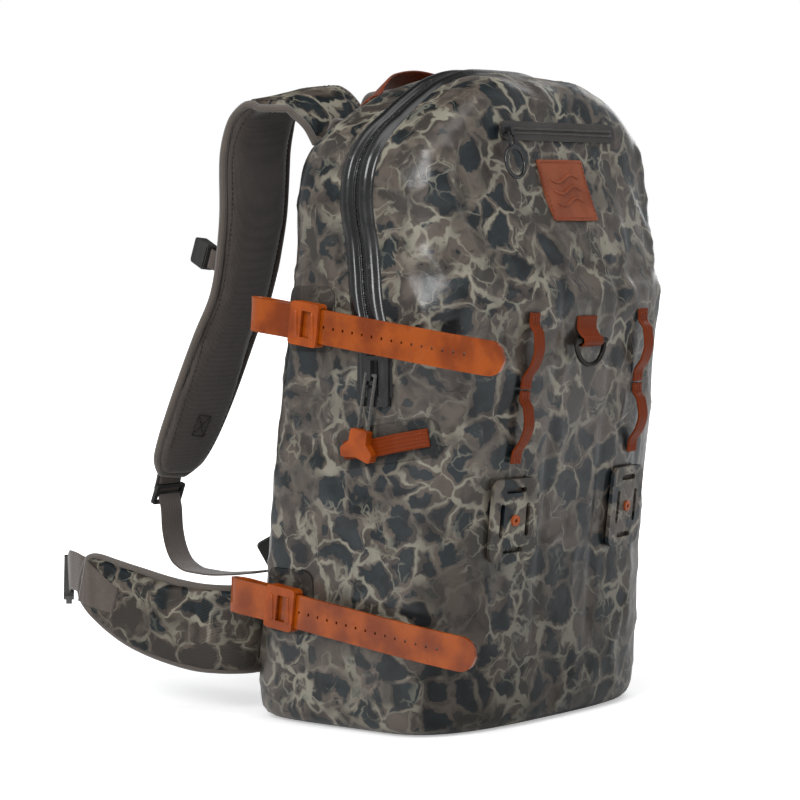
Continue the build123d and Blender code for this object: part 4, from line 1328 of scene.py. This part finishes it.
def shoulder(side, mirror):
    body = f"shoulder_{side}"
    pad = band(f"shoulder_pad_{side}", [(mirror * x, y, z) for y, z, x, *_ in SHOULDER],
               [row[4] for row in SHOULDER], [row[5] for row in SHOULDER],
               [(1.0, 0.0, mirror * row[3]) for row in SHOULDER], [CAMO_CLOTH, PAD_DARK], 110,
               power=7, sides=PAD_SLOTS_COLUMNS, round_ends=True)
    outer = 1.0 if pad.normal[60] @ np.array([0, 1.0, 0.3]) > 0 else -1.0
    puff(pad.obj)
    split_faces(pad, outer)
    settle(pad.obj, body, (f"shoulder_strap_{side}",))
    rim = pad_rim(pad, first=-1, tip=18.0, inset=0.5)
    settle(tube(f"shoulder_binding_{side}", rim, 3.1, BINDING, 420), body)
    faces = ((-outer, "inner"), (outer, "outer"))
    shoulder_stitches(pad, side, faces)
    shoulder_box(pad, side, faces)
    # webbing run down the outer face
    rows = slice(30, 108)
    normal = pad.normal[rows] * outer
    lift = 2.4
    points = pad.path[rows] + normal * (pad.thicks[rows] / 2 + lift)[:, None]
    points = lay_on(pad.obj, points, normal, 0.9)
    web = band(f"shoulder_webbing_{side}", points[::6], 25.0, 1.7, pad.across[rows][::6],
               BROWN_WEB, 80)
    settle(web.obj, body)


for side, mirror in MIRRORED:
    shoulder(side, mirror)

# cloth roots that join the shoulder pads to the yoke: x, y, z, width
SHOULDER_ROOT = [(-63.0, back_y(446) + 1.5, 442.0, 60.0), (-63.3, back_y(448) + 6.0, 444.5, 61.0),
                 (-63.6, (back_y(450) + 93.0) / 2 + 2.5, 448.5, 62.0),
                 (-64.0, 92.5, 453.5, 64.0), (-64.6, 96.0, 460.5, 64.0)]
for side, mirror in MIRRORED:
    root = band(f"shoulder_root_{side}", [(mirror * x, y, z) for x, y, z, _ in SHOULDER_ROOT],
                [row[3] for row in SHOULDER_ROOT], 6.0, (1.0, 0.0, mirror * 0.1), PAD_BROWN,
                30, power=6)
    settle(root.obj, "pack")

# ------------------------------------------------------------------ hip belt wings
# x, y, z, width, thickness
HIP = [
    (-107.0, 135.0, 66.0, 66.0, 12), (-124.0, 137.5, 66.0, 67.0, 13),
    (-141.0, 146.0, 66.5, 67.0, 13), (-152.5, 163.0, 67.5, 67.0, 13),
    (-158.5, 188.0, 71.0, 66.0, 13), (-162.0, 218.0, 77.5, 64.0, 13),
    (-163.5, 246.0, 86.0, 58.0, 13), (-163.0, 268.0, 94.0, 50.0, 12),
    (-161.0, 286.0, 100.5, 42.0, 10)]
HIP_WEB = [(-162.5, 276.0, 98.0), (-161.6, 287.5, 101.0), (-158.4, 298.0, 103.0),
           (-155.0, 307.0, 103.5), (-150.5, 313.0, 102.0), (-146.8, 317.4, 99.2)]


def mirrored(points, mirror):
    return [(mirror * x, y, z) for x, y, z in points]


def hip(side, mirror):
    body = f"hip_{side}"
    pad = band(f"hip_pad_{side}", mirrored([row[:3] for row in HIP], mirror),
               [row[3] for row in HIP], [row[4] for row in HIP], (0, 0, 1),
               [CAMO_CLOTH, PAD_BROWN], 90, power=7, sides=PAD_SLOTS_COLUMNS, round_ends=True)
    outer = 1.0 if pad.normal[50][0] * -mirror > 0 else -1.0
    puff(pad.obj)
    split_faces(pad, outer)
    settle(pad.obj, body, (f"hip_wing_{side}",))
    rim = pad_rim(pad, first=1, tip=16.0, inset=1.3)
    settle(tube(f"hip_binding_{side}", rim, 3.2, BINDING, 300), body)
    # brown panel on the tip, widening towards its end
    rows = slice(66, None)
    normal = pad.normal[rows] * outer
    points = pad.path[rows] + normal * (pad.thicks[rows] / 2 + 0.9)[:, None]
    points = lay_on(pad.obj, points, normal, 0.7)[::4]
    widths = np.linspace(pad.widths[66] * 0.35, pad.widths[-1] * 0.9, len(points))
    panel = band(f"hip_tip_panel_{side}", points, widths, 1.2, (0, 0, 1), PAD_BROWN, 30)
    settle(panel.obj, body)
    web = band(f"hip_web_{side}", mirrored(HIP_WEB, mirror), 32.0, 2.0, (0, 0, 1), BROWN_WEB,
               40)
    settle(web.obj, body, (f"hip_webbing_{side}",))


for side, mirror in MIRRORED:
    hip(side, mirror)


# ------------------------------------------------------------------ back pads, lumbar pad, yoke
def back_slab(name, x_range, z_range, thick, material, cols, rows, replaces=()):
    """A bound pad that follows the back panel, domed towards its middle."""
    (x0, x1), (z0, z1) = x_range, z_range
    verts = []
    for domed in (False, True):
        for b in -1 + 2 * np.arange(rows) / (rows - 1):
            for a in -1 + 2 * np.arange(cols) / (cols - 1):
                x, z = (x0 + x1) / 2 + a * (x1 - x0) / 2, (z0 + z1) / 2 + b * (z1 - z0) / 2
                dome = max(0.0, 1 - abs(a) ** 6) ** 0.5 * max(0.0, 1 - abs(b) ** 10) ** 0.5
                off = 2.0 + (thick - 1.4) * dome if domed else 1.0
                verts.append((x, back_y(z, x * 0.9) + off, z))
    faces, rim = sheet_faces(rows, cols)
    obj = make_object(name, verts, faces, material)
    face_outward(obj)
    puff(obj)
    settle(obj, "pack", replaces)
    edge = [np.array(verts[i + rows * cols]) - (0, 1.0, 0) for i in rim]
    settle(tube(name + "_binding", edge, 2.4, BINDING, 260, closed=True), "pack")


back_slab("back_pad_left", (-110, -12), (150, 440), 11.0, PAD_DARK, 26, 40, ("back_pads",))
back_slab("back_pad_right", (12, 110), (150, 440), 11.0, PAD_DARK, 26, 40)
back_slab("lumbar_pad_cover", (-102, 102), (34, 138), 15.0, PAD_BROWN, 40, 26, ("lumbar_pad",))
back_slab("yoke_cover", (-104, 104), (443, 466), 5.0, PAD_BROWN, 40, 10, ("harness_yoke",))

# ------------------------------------------------------------------ harness webbing
LOWER_WEB = [
    (-105.2, 245.0, 171.0), (-105.6, 243.0, 163.0), (-106.0, 240.5, 154.5),
    (-106.5, 239.0, 140.0), (-107.5, 234.5, 125.0), (-109.5, 224.0, 112.0),
    (-112.0, 207.0, 106.5), (-115.0, 184.0, 106.0), (-117.0, 158.0, 108.0),
    (-117.0, 132.0, 111.4)]
LADDER_LOCK_WEB = [
    (-105.0, 241.5, 181.0), (-105.2, 242.5, 176.0), (-105.4, 243.7, 171.5),
    (-105.5, 246.1, 169.0), (-105.4, 248.3, 171.0), (-105.2, 246.9, 176.0),
    (-105.0, 245.1, 183.0)]
for side, mirror in MIRRORED:
    web = band(f"lower_web_{side}", mirrored(LOWER_WEB, mirror), 25.0, 1.8, (1, 0, 0),
               BROWN_WEB, 90)
    settle(web.obj, f"lower_webbing_{side}", (f"lower_webbing_{side}",))
    web = band(f"ladder_web_{side}", mirrored(LADDER_LOCK_WEB, mirror), 25.0, 1.5, (1, 0, 0),
               BROWN_WEB, 40)
    settle(web.obj, f"shoulder_{side}")

# sternum webbing, drawn about a point off the pad, in the plane of x and the pad's outward
STERNUM_OUT = np.array([0, 0.945, 0.327])
STERNUM_UP = (0, -STERNUM_OUT[2], STERNUM_OUT[1])
STERNUM_CENTRE = np.array([-90.0, 176.8, 351.0]) + STERNUM_OUT * 11.0
# outward, x
STERNUM_WEB = [(-1.9, 4), (-1.2, 8.4), (1.6, 9.6), (2.9, 5), (2.9, -6), (5.0, -12),
               (10.0, -14.5), (13.5, -13.4)]
for side, mirror in MIRRORED:
    points = [STERNUM_CENTRE + STERNUM_OUT * out + (x, 0, 0) for out, x in STERNUM_WEB]
    web = band(f"sternum_web_{side}", mirrored(points, mirror), 16.0, 1.5, STERNUM_UP,
               BROWN_WEB, 50)
    settle(web.obj, f"sternum_{side}")


# ------------------------------------------------------------------ pocket panels inside
def pocket_panel(name, z_range, depth_at, half_width, x0, body, replaced):
    """A thin, slightly sagging sheet; depth_at gives its y at a height."""
    rows = cols = 24
    thick = 1.6
    verts = []
    for layer in (0, 1):
        for i in range(rows):
            z = z_range[0] + (z_range[1] - z_range[0]) * i / (rows - 1)
            for j in range(cols):
                a = -1 + 2 * j / (cols - 1)
                sag = 1.4 * noise.noise(Vector((a * 2.0, z * 0.02, layer * 0.2)))
                verts.append((x0 + a * half_width, depth_at(z) + sag + layer * thick, z))
    obj = make_object(name, verts, sheet_faces(rows, cols)[0], LINER)
    face_outward(obj)
    settle(obj, body, (replaced,))


def flap_pocket_y(z):
    return float(np.interp(z, (345, 373, 405, 446), (-84.5, -77.0, -66.5, -57.5)))


pocket_panel("inner_pocket_panel", (172, 388), lambda z: back_y(z) - 11.6, 86.0, 0.0, "pack",
             "inner_pocket")
pocket_panel("pocket_liner_panel", (348, 444), flap_pocket_y, 70.0, 8.0, "front_flap",
             "pocket_liner")

# ------------------------------------------------------------------ CAD parts that stay in view
# material, bevel width (0 for none), node names
CAD_LOOKS = (
    (TPU_RIGID, 0.5, "zip_garages zip_slider pocket_zip_slider pocket_pull_ring"),
    (CORD, 0, "zip_pull_cord"),
    (ORANGE_RIGID, 0.5, "zip_pull_handle plate_rivets"),
    (METAL, 0.5, "front_d_ring"),
    (CAMO_RIGID, 0.5, "accessory_plates"),
    (SHEET, 0, "frame_sheet"),
    (BUCKLE, 0.5, "ladder_lock_left ladder_lock_right sternum_buckle_female "
                  "sternum_buckle_male sternum_strap_left sternum_strap_right "
                  "hip_buckle_female hip_buckle_male"),
    (ORANGE_RIGID, 0.9, "lash_buckle_upper_left lash_buckle_upper_right "
                        "lash_buckle_lower_left lash_buckle_lower_right"),
)
for material, bevel_width, names in CAD_LOOKS:
    for name in names.split():
        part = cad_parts[name]
        part.data.materials.clear()
        part.data.materials.append(material)
        if bevel_width:
            bevel(part, bevel_width)


# ------------------------------------------------------------------ floor, light, camera (metres)
def stage_floor():
    reach = 14.0
    mesh = bpy.data.meshes.new("floor")
    corners = [(-reach, -reach, 0), (reach, -reach, 0), (reach, reach, 0), (-reach, reach, 0)]
    mesh.from_pydata(corners, [], [[0, 1, 2, 3]])
    floor = bpy.data.objects.new("floor", mesh)
    COLLECTION.objects.link(floor)
    t = Shader("floor_paper")
    place = t.place(rest=False)
    t.finish(Base_Color=t.mix(t.noise(place, scale=2.0), lin(247, 247, 247), lin(250, 250, 250)),
             Roughness=0.9, Specular_IOR_Level=0.1)
    # to the camera the paper glows, more so away from the pack
    distance = t.node("ShaderNodeVectorMath", {0: place}, operation="LENGTH").outputs["Value"]
    strength = t.step(distance, lo=0.30, hi=0.75, at_lo=0.42, at_hi=1.0)
    glow = t.node("ShaderNodeEmission", {"Color": (1.0, 1.0, 1.0, 1.0), "Strength": strength})
    paper = t.principled.outputs[0]
    glowing = t.node("ShaderNodeAddShader", {0: paper, 1: glow.outputs[0]}).outputs[0]
    seen = t.node("ShaderNodeLightPath").outputs["Is Camera Ray"]
    choice = t.node("ShaderNodeMixShader", {0: seen, 1: paper, 2: glowing})
    t.connect(t.tree.nodes["Material Output"], "Surface", choice.outputs[0])
    mesh.materials.append(t.material)


def stage_world():
    """Grey light on the pack, white behind it to the camera."""
    world = bpy.data.worlds.new("studio")
    bpy.context.scene.world = world
    world.use_nodes = True
    tree = world.node_tree
    background = tree.nodes["Background"]
    light_path = tree.nodes.new("ShaderNodeLightPath")
    mix = tree.nodes.new("ShaderNodeMix")
    mix.data_type = "RGBA"
    mix.inputs[6].default_value = (0.42, 0.425, 0.435, 1)
    mix.inputs[7].default_value = (1.0, 1.0, 1.0, 1)
    tree.links.new(light_path.outputs["Is Camera Ray"], mix.inputs[0])
    tree.links.new(mix.outputs[2], background.inputs["Color"])
    background.inputs["Strength"].default_value = 1.0


# name, place, target, width and height, watts
LIGHTS = (
    ("key_left", (-2.6, -0.5, 1.7), (0, 0, 0.28), (0.9, 1.7), 46),
    ("top", (-0.3, -0.6, 2.6), (0, 0, 0.2), (2.0, 2.0), 24),
    ("rim_right", (2.2, 0.6, 1.2), (0, 0, 0.3), (1.0, 1.6), 10),
    ("front_fill", (0.2, -3.2, 1.2), (0, 0, 0.25), (1.8, 1.8), 7),
)


def stage_light(name, place, target, size, power):
    data = bpy.data.lights.new(name, "AREA")
    data.shape = "RECTANGLE"
    data.size, data.size_y = size
    data.energy = power
    light = bpy.data.objects.new(name, data)
    light.location = place
    light.rotation_euler = (Vector(target) - Vector(place)).to_track_quat("-Z", "Y").to_euler()
    COLLECTION.objects.link(light)


def stage_camera():
    azimuth = math.radians(53.0)
    distance, height = 2.349, 0.392
    aim_right, aim_up = -0.028638814, -0.06175876   # slopes off the level line to the axis
    data = bpy.data.cameras.new("camera")
    camera = bpy.data.objects.new("camera", data)
    COLLECTION.objects.link(camera)
    sine, cosine = math.sin(azimuth), math.cos(azimuth)
    forward, right, up = Vector((sine, cosine, 0)), Vector((cosine, -sine, 0)), Vector((0, 0, 1))
    aim = (forward + right * aim_right + up * aim_up).normalized()
    camera.location = (-sine * distance, -cosine * distance, height)
    camera.rotation_euler = aim.to_track_quat("-Z", "Y").to_euler()
    data.sensor_width = 36.0
    data.lens = 133.56
    data.clip_end = 100
    bpy.context.scene.camera = camera
    bpy.context.scene.view_settings.view_transform = "Standard"


stage_floor()
stage_world()
for light_row in LIGHTS:
    stage_light(*light_row)
stage_camera()
